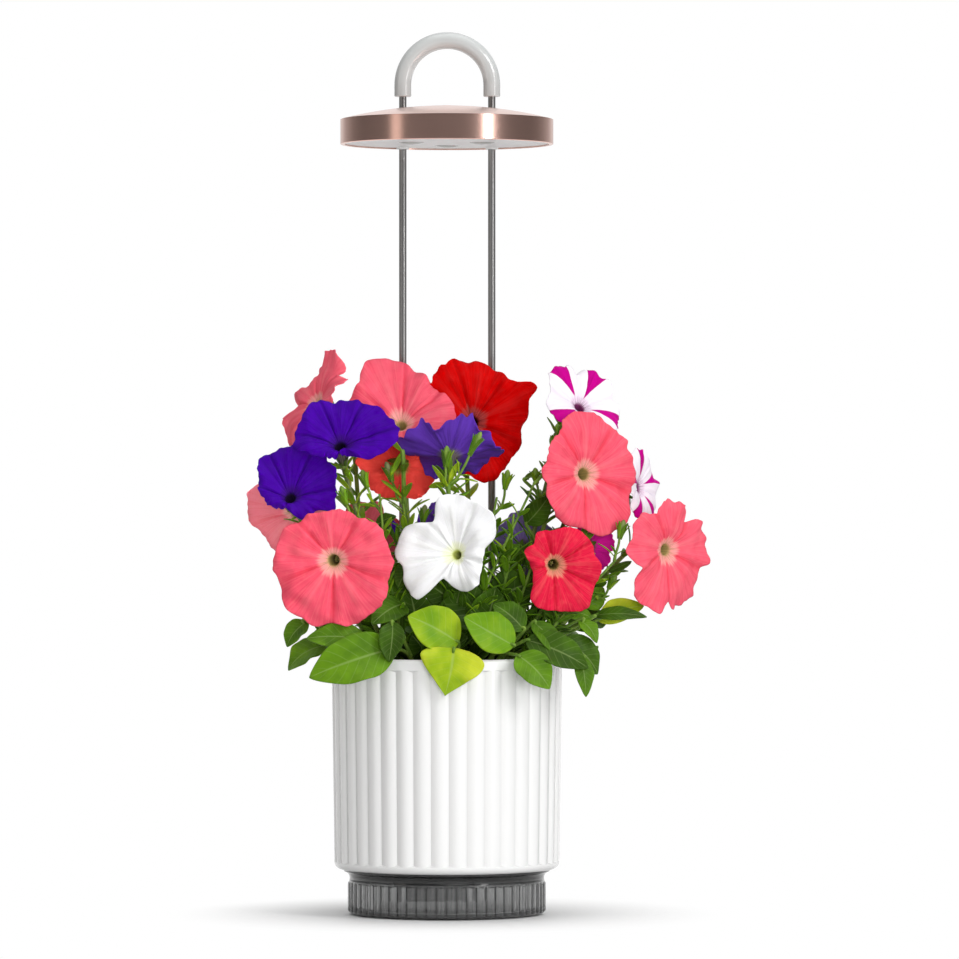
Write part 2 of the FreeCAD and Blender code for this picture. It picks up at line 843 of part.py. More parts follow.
def terminal_screws():
    groups = []
    for side in (-1, 1):
        seat = at(side * (rod_x - terminal_inner - 0.1), rod_y, terminal_screw_z())
        groups.append(screw(2.6, 1.8, terminal_screw, terminal_inner - rod_radius, seat, X * side))
    return groups


def steel_rod(side):
    low = box_floor_top() + 1.6
    high = handle_leg_z + handle_grip_depth - 0.3
    bevel = 0.3
    body = turned([
        (0, low), (rod_radius - bevel, low), (rod_radius, low + bevel), (rod_radius, high - bevel),
        (rod_radius - bevel, high), (0, high)])
    body.translate(at(side * rod_x, rod_y, 0))
    return body


def control_board():
    return block(-board_width / 2, board_width / 2, board_y(), board_y() + board_thickness,
                 board_low, board_low + board_height)


def board_parts():
    """Relay, controller, capacitor, coil and plug header on the back of the board."""
    y = board_y() + board_thickness
    left = -board_width / 2 + 2
    right = board_width / 2 - 3
    top = board_low + board_height
    relay = block(left, left + 9, y, y + 5, top - 18, top - 6)
    chip = block(right - 8, right, y, y + 1.2, top - 22, top - 14)
    capacitor_x = left + 4.5
    capacitor_z = board_low + 12
    capacitor = rod(3.0, at(capacitor_x, y, capacitor_z), at(capacitor_x, y + 5.5, capacitor_z))
    coil_x = right - 4
    coil_z = board_low + 10
    coil = rod(2.6, at(coil_x, y, coil_z), at(coil_x, y + 4, coil_z))
    header = block(-1.5, 4.5, y, y + 3, top - 11, top - 4)
    return [relay, chip, capacitor, coil, header]


def dc_socket():
    """Low-voltage inlet: rim outside, barrel through the wall, contact pin in the bore."""
    face = inlet_face()
    back = board_y() + board_thickness + 1.2
    shoulder = box_inner_radius() - 3.5
    bore_depth = 8.0
    barrel = rod(inlet_radius, at(0, shoulder, inlet_z), at(0, face + 0.5, inlet_z))
    rim = rod(inlet_rim, at(0, face, inlet_z), at(0, face + 1.6, inlet_z))
    tail = rod(inlet_radius + 0.7, at(0, back, inlet_z), at(0, shoulder, inlet_z))
    bore = rod(inlet_bore, at(0, face - bore_depth, inlet_z), at(0, face + 3, inlet_z))
    pin = rod(inlet_pin, at(0, face - bore_depth - 1, inlet_z), at(0, face, inlet_z))
    return barrel.fuse([rim, tail]).cut(bore).fuse(pin)


def socket_nut():
    """Hexagon nut inside the dry box's back wall."""
    thickness = 1.8
    inner = box_inner_radius()
    place = at(0, inner - thickness - 1.0, inlet_z)
    corners = []
    for degrees in range(0, 420, 60):
        corner = polar(inlet_nut, degrees)
        corners.append(place + at(corner.x, 0, corner.y))
    nut = Part.Face(Part.makePolygon(corners)).extrude(at(0, thickness, 0))
    return nut.cut(rod(inlet_radius + slip, at(0, inner - 10, inlet_z), at(0, inner + 10, inlet_z)))


# Handle


def handle():
    """White tube bent to a half circle over the two rods, bored at both legs."""
    centre_z = handle_leg_z + handle_leg
    leg = at(rod_x, rod_y, handle_leg_z)
    right = at(rod_x, rod_y, centre_z)
    left = at(-rod_x, rod_y, centre_z)
    path = Part.Wire([
        Part.LineSegment(leg, right).toShape(),
        Part.Arc(right, at(0, rod_y, centre_z + rod_x), left).toShape(),
        Part.LineSegment(left, at(-rod_x, rod_y, handle_leg_z)).toShape()])
    section = Part.Wire([Part.makeCircle(handle_tube_radius, leg, Z)])
    tube = path.makePipeShell([section], True, False)
    ends = [edge for edge in tube.Edges if abs(edge.CenterOfMass.z - handle_leg_z) < 0.01]
    tube = tube.makeFillet(0.7, ends)
    grip_top = handle_leg_z + handle_grip_depth
    for side in (-1, 1):
        bore = disc(rod_radius + rod_slip, handle_leg_z - 1, grip_top, side * rod_x, rod_y)
        start = at(side * rod_x, rod_y, handle_screw_z())
        hole = rod(handle_screw + slip, start, start + at(0, handle_tube_radius + 4, 0))
        tube = tube.cut(bore).cut(hole)
    return tube


def handle_screw_z():
    return handle_leg_z + 4.6


def handle_screws():
    """Headless screws from behind that lock the handle to the rods."""
    length = handle_tube_radius - rod_radius - 0.6
    groups = []
    for side in (-1, 1):
        start = at(side * rod_x, rod_y + rod_radius + 0.1, handle_screw_z())
        body = rod(handle_screw, start, start + at(0, length, 0))
        socket = rod(handle_screw / 2, start + at(0, length / 2, 0), start + at(0, length + 1, 0))
        groups.append(body.cut(socket))
    return groups


# Lamp


def lamp_top_z():
    return lamp_bottom_z + lamp_height


def dome_height(radius):
    """Height of the dome's outer face at a distance from its middle."""
    sphere = (lamp_radius ** 2 + dome_rise ** 2) / (2 * dome_rise)
    return lamp_top_z() + math.sqrt(sphere ** 2 - radius ** 2) - (sphere - dome_rise)


def lamp_ring():
    bottom = lamp_bottom_z
    top = lamp_top_z() - 0.1
    soft = 0.4
    return turned([
        (lamp_inner - lamp_lip, bottom), (lamp_radius - soft, bottom),
        quarter(lamp_radius - soft, bottom, lamp_radius, bottom + soft, lamp_radius - soft, bottom + soft),
        (lamp_radius, top), (lamp_inner, top), (lamp_inner, bottom + lamp_lip_thickness),
        (lamp_inner - lamp_lip, bottom + lamp_lip_thickness)])


def lamp_dome():
    """Shallow dome with a short skirt that presses into the ring."""
    edge = lamp_top_z()
    skirt_low = edge - 4.5
    skirt_out = lamp_inner - slip
    skirt_in = skirt_out - 0.8
    bevel = 0.5
    dome = turned([
        (0, edge + dome_rise - dome_thickness),
        (skirt_in, dome_height(skirt_in) - dome_thickness,
         skirt_in / 2, dome_height(skirt_in / 2) - dome_thickness),
        (skirt_in, skirt_low), (skirt_out, skirt_low), (skirt_out, edge), (lamp_radius - bevel, edge),
        (lamp_radius - bevel, dome_height(lamp_radius - bevel)),
        (0, edge + dome_rise, lamp_radius / 2, dome_height(lamp_radius / 2))])
    dome = dome.cut(disc(button_radius + button_clearance, edge, edge + 20))
    for side in (-1, 1):
        dome = dome.cut(disc(bushing_radius + slip, edge - 10, edge + 20, side * rod_x, rod_y))
    return dome


def lens_places():
    return [polar(lens_pitch, degrees) + at(0, lens_centre_y, 0) for degrees in (90, 210, 330)]


def post_places():
    """Three posts near the lamp's edge, clear of the rods at the back."""
    edge_inset = 5.3
    return [polar(lamp_inner - edge_inset, degrees) for degrees in (0, 180, 270)]


def plate_z():
    return lamp_bottom_z + lamp_lip_thickness


def spreader_z():
    return plate_z() + plate_thickness + spreader_post


def lens_plate():
    low = plate_z()
    plate = disc(lamp_inner - 0.1, low, low + plate_thickness)
    top = low + plate_thickness
    for place in post_places():
        plate = plate.fuse(disc(3.0, top - 0.2, spreader_z(), place.x, place.y))
        plate = plate.cut(disc(spreader_screw + slip, top, spreader_z() + 1, place.x, place.y))
    for place in lens_places():
        plate = plate.cut(through(lens_radius + slip, place.x, place.y))
    for side in (-1, 1):
        plate = plate.cut(through(bushing_radius + slip, side * rod_x, rod_y))
    return plate


def lens_windows():
    """Round windows that bulge a little below the plate."""
    low = plate_z()
    bulge = 1.0
    groups = []
    for place in lens_places():
        lens = turned([
            (0, low - bulge), (lens_radius, low + 0.1, lens_radius * 0.55, low - bulge * 0.7),
            (lens_radius, low + plate_thickness), (0, low + plate_thickness)])
        lens.translate(at(place.x, place.y, 0))
        groups.append(lens)
    return groups


def led_board():
    top = spreader_z()
    radius = rod_reach - bushing_radius - 1.0
    return disc(radius, top - led_board_thickness, top)


def led_chips():
    """One large emitter over each lens and a ring of small ones."""
    top = spreader_z() - led_board_thickness
    chips = [chip_block(place, 3.0, top) for place in lens_places()]
    small_ring = lamp_radius - chip_ring_inset
    small_count = 16
    for index in range(small_count):
        degrees = 11 + index * 360 / small_count
        chips.append(chip_block(polar(small_ring, degrees), 1.4, top))
    return chips


def chip_block(place, half, top):
    return block(place.x - half, place.x + half, place.y - half, place.y + half, top - 1.0, top)


def heat_spreader():
    """Aluminium plate that carries the LED board below it and the driver board above."""
    low = spreader_z()
    plate = disc(lamp_inner - 1.6, low, low + spreader_thickness)
    for place in post_places():
        plate = plate.cut(through(spreader_screw + hole_play, place.x, place.y))
    foot = 2.0
    for x in (-driver_half_x + 2 * foot, driver_half_x - 2 * foot):
        for y in (-driver_half_y + 1.5 * foot, driver_half_y - 1.5 * foot):
            plate = plate.fuse(disc(foot, low + spreader_thickness - 0.2, driver_z(), x, y))
    for side in (-1, 1):
        plate = plate.cut(through(bushing_radius + 2.4, side * rod_x, rod_y))
    return plate


def spreader_screws():
    seat = spreader_z() + spreader_thickness
    length = spreader_thickness + spreader_post - 0.3
    head = spreader_screw * 2
    seats = [at(place.x, place.y, seat) for place in post_places()]
    return [screw(head, 1.5, spreader_screw, length, under_head, Z * -1) for under_head in seats]


def driver_z():
    return spreader_z() + spreader_thickness + 1.4


def driver_board():
    high = driver_z() + board_thickness
    return block(-driver_half_x, driver_half_x, -driver_half_y, driver_half_y, driver_z(), high)


def driver_parts():
    """Inductor, driver chip, diode and capacitor on top of the board."""
    top = driver_z() + board_thickness
    inductor = disc(3.2, top, top + 4.2, -13, 0)
    chip = block(9, 15, -3, 3, top, top + 1.2)
    diode = block(10, 14, 6, 8.6, top, top + 1.6)
    capacitor = disc(2.4, top, top + 4.5, 13, -7.5)
    return [inductor, chip, diode, capacitor]


def switch_top():
    return driver_z() + board_thickness + 3.4


def tact_switch():
    """Square switch body with a well for its plunger, deep enough for the press."""
    low = driver_z() + board_thickness
    half = 3.0
    well = plunger_reach + button_travel + 0.1
    body = block(-half, half, -half, half, low, switch_top())
    return body.cut(disc(plunger_radius + 0.1, switch_top() - well, switch_top() + 1))


def switch_plunger():
    return disc(plunger_radius, switch_top() - plunger_reach, plunger_top())


def plunger_top():
    return switch_top() + 1.0


def lamp_button():
    """Push button through the dome, with a stem down to the switch and a flange that keeps it in."""
    apex = lamp_top_z() + dome_rise
    low = plunger_top()
    flange_top = apex - dome_thickness - seat_gap
    flange_low = flange_top - 1.0
    stem = 1.6
    flange = button_radius + 1.6
    bevel = 0.5
    top = apex + 0.3
    return turned([
        (0, low), (stem, low), (stem, flange_low), (flange, flange_low), (flange, flange_top),
        (button_radius, flange_top), (button_radius, apex - 0.1), (button_radius - bevel, top), (0, top)])


def rod_bushings(low, high):
    """Plastic sleeves that guide the lamp on the rods."""
    groups = []
    for side in (-1, 1):
        bore = rod_radius + rod_slip
        soft = 0.5
        sleeve = turned([
            (bore, low + soft), (bore + soft, low),
            (bushing_radius - soft, low), (bushing_radius, low + soft),
            (bushing_radius, high - soft), (bushing_radius - soft, high),
            (bore + soft, high), (bore, high - soft)])
        sleeve.translate(at(side * rod_x, rod_y, 0))
        groups.append(sleeve)
    return groups


def contact_springs():
    """Leaf springs that press on the rods, hold the lamp in place and take its current."""
    low = spreader_z() + spreader_thickness
    sheet = 0.35
    foot_sheet = 0.6
    leaf_height = 4.0
    y0 = rod_y - 9.5
    foot_y = rod_y - 2.5
    x_leaf = rod_x - rod_radius - sheet - rod_slip
    groups = []
    for side in (-1, 1):
        x0, x1 = sorted((side * (x_leaf - 12), side * x_leaf))
        foot = block(x0, x1, y0, foot_y, low, low + foot_sheet)
        leaf_x0, leaf_x1 = sorted((side * (x_leaf - sheet), side * x_leaf))
        leaf = block(leaf_x0, leaf_x1, y0, rod_y + 2.0, low, low + leaf_height)
        groups.append(foot.fuse(leaf).removeSplitter())
    return groups


# Petunias, as plain thin solids: trumpets for the flowers, rods for stems and slabs for leaves

# Each flower: kind, x and y of its face, height of its face above the pot's rim, azimuth it faces
# (0 is the front, 90 is +X), elevation it faces, and the radius of its face.
flowers = [
    ("coral", -67.7, -54, 58.1, -8, -3, 34),
    ("coral", -28, 2, 156, -4, 36, 31),
    ("coral", -84.5, 34, 153, -78, 24, 28),
    ("coral", 84.9, -24, 110, 30, 4, 35),
    ("coral", 134.8, -12, 64, 42, -2, 32),
    ("coral", -103.5, 24, 83, -38, -6, 26),
    ("coral", -52, 58, 67, 205, 8, 27),
    ("violet", -60.4, -27, 137, -6, 56, 30),
    ("violet", -89.9, -24, 107, -14, 42, 26),
    ("violet", 8, -24, 131, 178, 75, 25),
    ("violet", 48, 34, 66, 160, 20, 22),
    ("violet", -4, 34, 78, 180, 10, 15),
    ("red", 19, 18, 143, 8, 10, 35),
    ("red", -28, 5, 107.5, 0, -55, 19),
    ("red", 65.5, -52, 54.5, 8, -5, 25),
    ("white", 0.5, -56, 64.6, -16, 4, 32),
    ("white", 92, 42, 106, 155, 10, 26),
    ("striped", 81, 4, 156, 34, 36, 28),
    ("striped", 119, 14, 101, 76, 6, 21),
    ("striped", 88, -2, 68, 160, -4, 18),
]
# Where each flower's stem leaves the medium, in the same order: x and y.
stem_roots = [
    (-30, -26), (-18, 30), (-46, 16), (34, -18), (40, -14), (-38, -6), (-30, 16), (-24, -2), (-34, -14), (2, -16),
    (24, 20), (0, 24), (18, 12), (-20, 31), (28, -28), (4, -34), (36, 16), (30, 4), (42, 2), (36, 10)]
petal_thickness = 0.9
stem_thickness = 1.3
# The plants were laid out over a pot of this radius; in another pot they spread with it.
laid_out_radius = 69.3
spread = pot_radius / laid_out_radius
# Each leaf: where its stalk leaves the medium, its base and its tip as azimuth, distance outside the
# pot's wall and height above the rim, then its width.
leaves = [
    ((-30, -32), (-40, 2, 6), (-62, 17, -16), 24),
    ((-50, -32), (-66, 21, 22), (-68, 33, 7), 15),
    ((-3, -28), (-2, 3, 7), (-1.3, 5, -21), 36),
    ((-12, -30), (-9, -6, 6), (-13, -4, 31), 28),
    ((-28, -26), (-34, -5, 18), (-33, 2, -1), 14),
    ((15, -28), (22, -8, 7), (15, -5, 28), 24),
    ((30, -28), (38, 3, 7), (47, 9, -16), 20),
    ((55, -28), (58, 5, 9), (72, 22, -20), 24),
    ((50, -32), (68, 8, 20), (76, 48, 22), 16),
    ((40, -30), (58, 4, 26), (64, 20, 8), 12),
    ((0, -42), (8, -34, 14), (12, -32, 40), 26),
    ((25, -38), (30, -26, 16), (38, -22, 42), 26),
    ((-20, -42), (-26, -32, 14), (-32, -28, 40), 26),
    ((-60, -34), (-76, -4, 18), (-84, 12, 28), 20),
    ((-100, -32), (-105, 3, 9), (-112, 26, 0), 24),
    ((-125, -32), (-126, 3, 10), (-130, 22, -4), 20),
    ((180, -44), (180, 2, 17), (180, 20, 0), 28),
    ((100, -32), (105, 3, 9), (112, 26, 0), 24),
    ((122, -32), (126, 3, 10), (130, 22, -4), 20),
    ((-85, -34), (-85, 3, 7), (-88, 26, -8), 22),
    ((85, -34), (88, 4, 18), (96, 28, 24), 20),
]
leaf_thickness = 1.0
knee_length = 9.0
stalk_thickness = 1.04
widest_share = 0.45


def facing(azimuth, elevation):
    turn = math.radians(azimuth)
    lift = math.radians(elevation)
    return at(math.sin(turn) * math.cos(lift), -math.cos(turn) * math.cos(lift), math.sin(lift))


def flower_depth(radius):
    return 0.62 * radius + 6


def flower_solid(x, y, rise, azimuth, elevation, radius):
    """Thin trumpet: a narrow tube that flares to a shallow cone, with its foot closed."""
    depth = flower_depth(radius)
    flare = depth * 0.6
    throat = 3.4 + radius * 0.05
    wall = petal_thickness
    foot = stem_thickness + 0.6
    floor = wall * 2
    body = turned([
        (0, 0), (foot, 0), (throat, flare), (radius, depth), (radius, depth + wall),
        (throat - wall * 0.4, flare + wall * 1.4), (stem_thickness, floor), (0, floor)])
    axis = facing(azimuth, elevation)
    body.Placement = FreeCAD.Placement(ORIGIN, FreeCAD.Rotation(Z, axis)).multiply(body.Placement)
    body.translate(flower_face(x, y, rise) - axis * depth)
    return body


def flower_face(x, y, rise):
    return at(x * spread, y * spread, pot_top_z + rise)


def petunia_flowers(kind):
    return [flower_solid(*flower[1:]) for flower in flowers if flower[0] == kind]


def stem_solids():
    """Each stem: straight up from the medium to a knee, then along the flower's axis to its foot."""
    pieces = []
    for flower, root in zip(flowers, stem_roots):
        kind, x, y, rise, azimuth, elevation, radius = flower
        axis = facing(azimuth, elevation)
        foot = flower_face(x, y, rise) - axis * flower_depth(radius)
        knee = foot - axis * knee_length
        start = at(root[0] * spread, root[1] * spread, medium_top - 1)
        pieces.append(rod(stem_thickness, start, knee))
        pieces.append(Part.makeSphere(stem_thickness, knee))
        pieces.append(rod(stem_thickness, knee, foot))
    return pieces


def rim_point(azimuth, out, up):
    turn = math.radians(azimuth)
    reach = pot_radius + out
    return at(math.sin(turn) * reach, -math.cos(turn) * reach, pot_top_z + up)


def leaf_solids():
    pieces = []
    for (root_azimuth, root_out), base_place, tip_place, width in leaves:
        root = rim_point(root_azimuth, root_out, medium_top - pot_top_z - 1)
        base = rim_point(*base_place)
        tip = rim_point(*tip_place)
        along = tip - base
        along_length = along.Length
        along.normalize()
        middle = (base + tip) * 0.5
        outward = at(middle.x, middle.y, 0).normalize()
        across = along.cross(outward + Z * 0.6).normalize()
        normal = across.cross(along).normalize()
        half = width / 2
        widest = base + along * (along_length * widest_share)
        side_a = widest + across * half
        side_b = widest - across * half
        outline = Part.Wire([Part.Arc(base, side_a, tip).toShape(), Part.Arc(tip, side_b, base).toShape()])
        blade = Part.Face(outline).extrude(normal * leaf_thickness)
        blade.translate(normal * (-leaf_thickness / 2))
        pieces.append(blade)
        pieces.append(rod(stalk_thickness, root, base))
        pieces.append(Part.makeSphere(stalk_thickness, base))
    return pieces


def petunia_foliage():
    """Stems, stalks and leaves, joined wherever they cross."""
    room = block(-300, 300, -300, 300, medium_top, 600)
    plants = []
    for piece in stem_solids() + leaf_solids():
        joined = piece.common(room)
        apart = []
        for plant in plants:
            if plant.BoundBox.intersect(joined.BoundBox) and plant.common(joined).Volume > 0:
                joined = joined.fuse(plant)
            else:
                apart.append(plant)
        plants = apart + joined.Solids
    return plants


os.makedirs("parts", exist_ok=True)
save("foot_pad", foot_pad())
save("water_tank", water_tank())
save("outer_pot", outer_pot())
save("inner_deck", inner_deck())
save("deck_screws", deck_screws())
save("net_basket", net_basket())
save("growing_medium", growing_medium())
save("riser_tube", riser_tube())
save("drip_cap", drip_cap())
save("pump_housing", pump_housing())
save("pump_back_cover", pump_back_cover())
save("stator_core", stator_core())
save("stator_coil", stator_coil())
save("rotor_magnet", rotor_magnet())
save("impeller", impeller())
save("rotor_shaft", rotor_shaft())
save("pump_cover", pump_cover())
save("pump_strainer", pump_strainer())
save("pump_lead", pump_lead())
save("float_stem", float_stem())
save("float_clip", float_clip())
save("level_float", level_float())
save("float_nut", float_nut())
save("service_box", service_box())
save("service_lid", service_lid())
save("lid_screws", lid_screws())
save("rod_grommets", rod_grommets())
save("rod_terminals", rod_terminals())
save("terminal_screws", terminal_screws())
save("left_rod", steel_rod(-1))
save("right_rod", steel_rod(1))
save("control_board", control_board())
save("board_parts", board_parts())
save("dc_socket", dc_socket())
save("socket_nut", socket_nut())
save("handle", handle())
save("handle_screws", handle_screws())
save("lamp_ring", lamp_ring())
save("lamp_dome", lamp_dome())
save("lens_plate", lens_plate())
save("lens_windows", lens_windows())
save("led_board", led_board())
save("led_chips", led_chips())
save("heat_spreader", heat_spreader())
save("spreader_screws", spreader_screws())
save("driver_board", driver_board())
save("driver_parts", driver_parts())
save("tact_switch", tact_switch())
save("switch_plunger", switch_plunger())
save("lamp_button", lamp_button())
save("lower_bushings", rod_bushings(lamp_bottom_z - 0.3, lamp_bottom_z + 4.5))
save("upper_bushings", rod_bushings(lamp_top_z() - 2.6, dome_height(rod_reach) + 1.4))
save("contact_springs", contact_springs())
for flower_kind in ("coral", "violet", "red", "white", "striped"):
    save("petunia_" + flower_kind, petunia_flowers(flower_kind))
save("petunia_foliage", petunia_foliage())
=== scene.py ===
import bpy
import math
import random
from collections import namedtuple
import numpy as np
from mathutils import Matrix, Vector


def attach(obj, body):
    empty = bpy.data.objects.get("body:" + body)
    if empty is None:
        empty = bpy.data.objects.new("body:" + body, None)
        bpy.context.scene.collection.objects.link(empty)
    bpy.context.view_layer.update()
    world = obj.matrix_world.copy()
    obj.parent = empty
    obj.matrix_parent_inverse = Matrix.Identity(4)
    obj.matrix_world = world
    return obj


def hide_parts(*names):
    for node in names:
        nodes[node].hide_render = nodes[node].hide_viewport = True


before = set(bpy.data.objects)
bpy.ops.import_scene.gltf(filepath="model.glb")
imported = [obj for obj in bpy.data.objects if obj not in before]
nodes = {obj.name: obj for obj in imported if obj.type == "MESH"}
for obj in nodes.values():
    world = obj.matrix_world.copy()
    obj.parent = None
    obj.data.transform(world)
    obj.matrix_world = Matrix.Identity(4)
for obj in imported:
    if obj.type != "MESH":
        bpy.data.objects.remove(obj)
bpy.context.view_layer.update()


def add_object(name, data):
    """A new object in the scene."""
    made = bpy.data.objects.new(name, data)
    bpy.context.scene.collection.objects.link(made)
    return made


# Camera: level, at the photograph's distance and height
camera_data = bpy.data.cameras.new("camera")
camera_data.sensor_width = 36.0
camera_data.lens = 232.7
camera_data.clip_start = 0.1
camera_data.clip_end = 50.0
camera = add_object("camera", camera_data)
camera.location = (0.0196, -3.72, 0.2607)
camera.rotation_euler = (math.pi / 2, 0, 0)
bpy.context.scene.camera = camera
bpy.context.scene.view_settings.view_transform = "Standard"

# Sizes and places of the CAD model that the plants keep to, in millimetres
MM = 0.001
POT_TOP = 154.4
RIM_INSIDE = 57
RIM_CLEAR = 3
MEDIUM_TOP = 146.0
ROOT_TOP = MEDIUM_TOP - 1.5
SHOOT_ROOT = MEDIUM_TOP - 1.0
ROD_X = 27.05
ROD_Y = 50.0
ROD_CLEAR = 5.0
BASKET_INSIDE = 58.5
DRY_BOX_FRONT = 38.5
LEAF_BACK = 34
DRIP_CAP_CLEAR = 15

# The plants stand where the CAD solids do. Each flower: x, y, height above the rim, azimuth and
# elevation that it faces, radius, and where its stem is rooted.
Flower = namedtuple("Flower", "kind x y rise azimuth elevation radius root")
flowers = {name: Flower(*row) for name, row in {
    "A": ("coral", -67.7, -54, 58.1, -8, -3, 34, (-30, -26)),
    "E": ("coral", -28, 2, 142, -4, 36, 31, (-18, 30)),
    "D": ("coral", -83, 34, 154, -57, 30, 30, (-46, 16)),
    "I": ("coral", 84.9, -24, 110, 30, 4, 35, (34, -18)),
    "J": ("coral", 134.8, -12, 64, 42, -2, 32, (40, -14)),
    "M": ("coral", -92, 24, 88, -8, 12, 26, (-38, -6)),
    "S": ("coral", -52, 58, 67, 205, 8, 27, (-30, 16)),
    "B": ("violet", -64, -27, 129, -6, 35, 30, (-24, -2)),
    "C": ("violet", -94.5, -24, 97.7, -14, 30, 27, (-34, -14)),
    "G": ("violet", 2, -18, 124.5, 178, 50, 29, (2, -16)),
    "U": ("violet", 48, 34, 66, 160, 20, 22, (24, 20)),
    "T": ("violet", -4, 34, 78, 180, 10, 15, (0, 24)),
    "F": ("red", 16, 18, 142, 8, 10, 35, (18, 12)),
    "N": ("red", -29, 10, 113, 186, -16, 23, (-20, 31)),
    "K": ("red", 64, -52, 55.5, 8, -5, 25, (28, -28)),
    "L": ("white", 4.5, -56, 62.1, -16, 4, 32, (4, -34)),
    "V": ("white", 92, 42, 106, 155, 10, 26, (36, 16)),
    "H": ("striped", 82, 4, 152.5, 34, 36, 26, (30, 4)),
    "O": ("striped", 119, 14, 102, 66, 6, 23, (42, 2)),
    "P": ("striped", 86, -2, 66, 160, -4, 16, (36, 10)),
}.items()}
# How far the stems of some flowers turn from green to mauve
mauve_stems = {"B": 0.8, "H": 0.7, "E": 0.2, "I": 0.1, "J": 0.3}

# Each leaf: base, tip, width, tone from dark (0) to yellow (1), arch and fold
Leaf = namedtuple("Leaf", "base tip width tone arch fold", defaults=(0.10, 0.20))
leaves = [Leaf(*row) for row in (
    ((-30.2, -58, 161.0), (-80.9, -63, 143.8), 32, 0.42, 0.14, 0.14),
    ((-46.5, -44, 164.4), (-82.9, -50, 166.7), 20, 0.45),
    ((-82.5, -36.7, 176.4), (-94.9, -38.3, 161.4), 17, 0.33, 0.10, 0.25),
    ((-31.5, -60, 176.6), (-33.7, -67, 153.2), 18, 0.14, 0.10, 0.30),
    ((-25.3, -34, 186.7), (-44.0, -52, 175.2), 24, 0.22, 0.12),
    ((-23.0, -22, 193.6), (-40.1, -34, 190.2), 21, 0.26),
    ((7.5, -58, 164.1), (-22.5, -64, 180.3), 33, 0.72, 0.06),
    ((4.6, -70.5, 161.5), (-0.7, -74.5, 133.5), 38, 0.95, 0.05, 0.08),
    ((40.0, -58, 162.4), (10.5, -63, 179.6), 29, 0.50, 0.08),
    ((41.7, -63, 157.2), (61.1, -68, 137.4), 25, 0.40, 0.14, 0.15),
    ((19.9, -34, 172.4), (-0.3, -28, 196.1), 32, 0.05),
    ((27.0, -26, 186.5), (53.3, -22, 199.6), 30, 0.10, 0.12),
    ((46.0, -46, 171.5), (27.6, -44, 186.9), 20, 0.20),
    ((6.8, -30, 184.2), (-13.5, -24, 199.6), 24, 0.07),
    ((47.1, -52, 165.7), (83.8, -52, 149.2), 26, 0.14, 0.18),
    ((68.5, -44, 165.5), (90.0, -36, 145.1), 24, 0.20, 0.14),
    ((79.2, -46, 156.7), (82.6, -54, 132.1), 14, 0.30, 0.14),
    ((51.3, -46, 176.3), (68.9, -58, 153.6), 16, 0.25, 0.12),
    ((78.7, -38, 177.3), (89.3, -44, 163.8), 12, 0.42, 0.12),
    ((87.9, -20, 179.2), (119.4, -26, 178.8), 11, 0.15, 0.16),
    ((90.5, -12, 176.7), (118.0, -10, 185.0), 17, 0.88),
    ((81.5, -10, 185.0), (94.2, -6, 195.7), 16, 0.30),
    ((86.7, -24, 178.1), (57.9, -34, 183.1), 13, 0.35),
    ((47.4, -8, 234.1), (61.2, -10, 250.8), 18, 0.18, 0.12),
    ((46.3, 0, 260.4), (57.7, 0, 264.0), 9, 0.25),
    ((-42.3, -10, 232.9), (-30.3, -14, 238.9), 10, 0.12),
    ((-20.6, -30, 209.2), (-28.8, -36, 196.2), 15, 0.10),
    ((31.8, -20, 212.7), (43.7, -24, 221.7), 12, 0.25),
    ((65.1, -36, 177.2), (55.6, -30, 194.9), 17, 0.20),
    ((-63.4, -15.8, 172.4), (-80.9, -8.5, 182.4), 20, 0.15, 0.12, 0.25),
    ((-69.8, 18.7, 163.4), (-88.4, 35.7, 154.4), 26, 0.30, 0.18),
    ((-58.5, 42.5, 164.4), (-69.9, 58.7, 150.4), 22, 0.45, 0.18),
    ((0.0, 71.3, 171.4), (0.0, 87.3, 154.4), 28, 0.25, 0.16),
    ((69.8, 18.7, 163.4), (88.4, 35.7, 154.4), 26, 0.35, 0.18),
    ((58.5, 42.5, 164.4), (69.9, 58.7, 150.4), 22, 0.55, 0.18),
    ((-72.0, -6.3, 161.4), (-95.2, -3.3, 146.4), 24, 0.40, 0.18),
    ((73.3, -2.6, 172.4), (96.8, 10.2, 178.4), 22, 0.20, 0.12, 0.25),
    ((4.9, -35.0, 168.4), (7.8, -36.5, 194.4), 28, 0.05, -0.10, 0.25),
    ((21.6, -37.5, 170.4), (29.1, -37.3, 196.4), 28, 0.10, -0.10, 0.25),
    ((-16.4, -33.5, 168.4), (-21.9, -35.0, 194.4), 28, 0.08, -0.10, 0.25),
)]

# Each bud: the place of its tip, its length, and its tone from green (0) over mauve (1) to violet (2)
buds = [
    ((0.3, -38, 280.6), 17, 0.0), ((20.5, -38, 288.9), 21, 0.1), ((-62.6, -40, 256.8), 16, 0.0),
    ((-36.3, -12, 271.2), 17, 0.5), ((105.8, -22, 236.5), 16, 0.3), ((-50.5, -20, 266.4), 15, 0.0),
    ((65.5, 6, 289.2), 14, 0.1), ((101.1, -16, 203.6), 13, 0.0), ((36.7, -4, 266.4), 16, 0.0),
    ((-57.8, -40, 236.7), 13, 0.0), ((-12.9, -16, 245.5), 14, 0.4), ((52.9, -6, 267.6), 13, 0.0),
    ((-30, 40, 232.0), 15, 0.1), ((30, 44, 228.0), 15, 0.2), ((66, 40, 262.0), 14, 0.0),
    ((-72, 24, 252.0), 15, 0.1), ((-32, -14, 236.0), 20, 2.0), ((72, -22, 295.0), 24, 1.0),
]

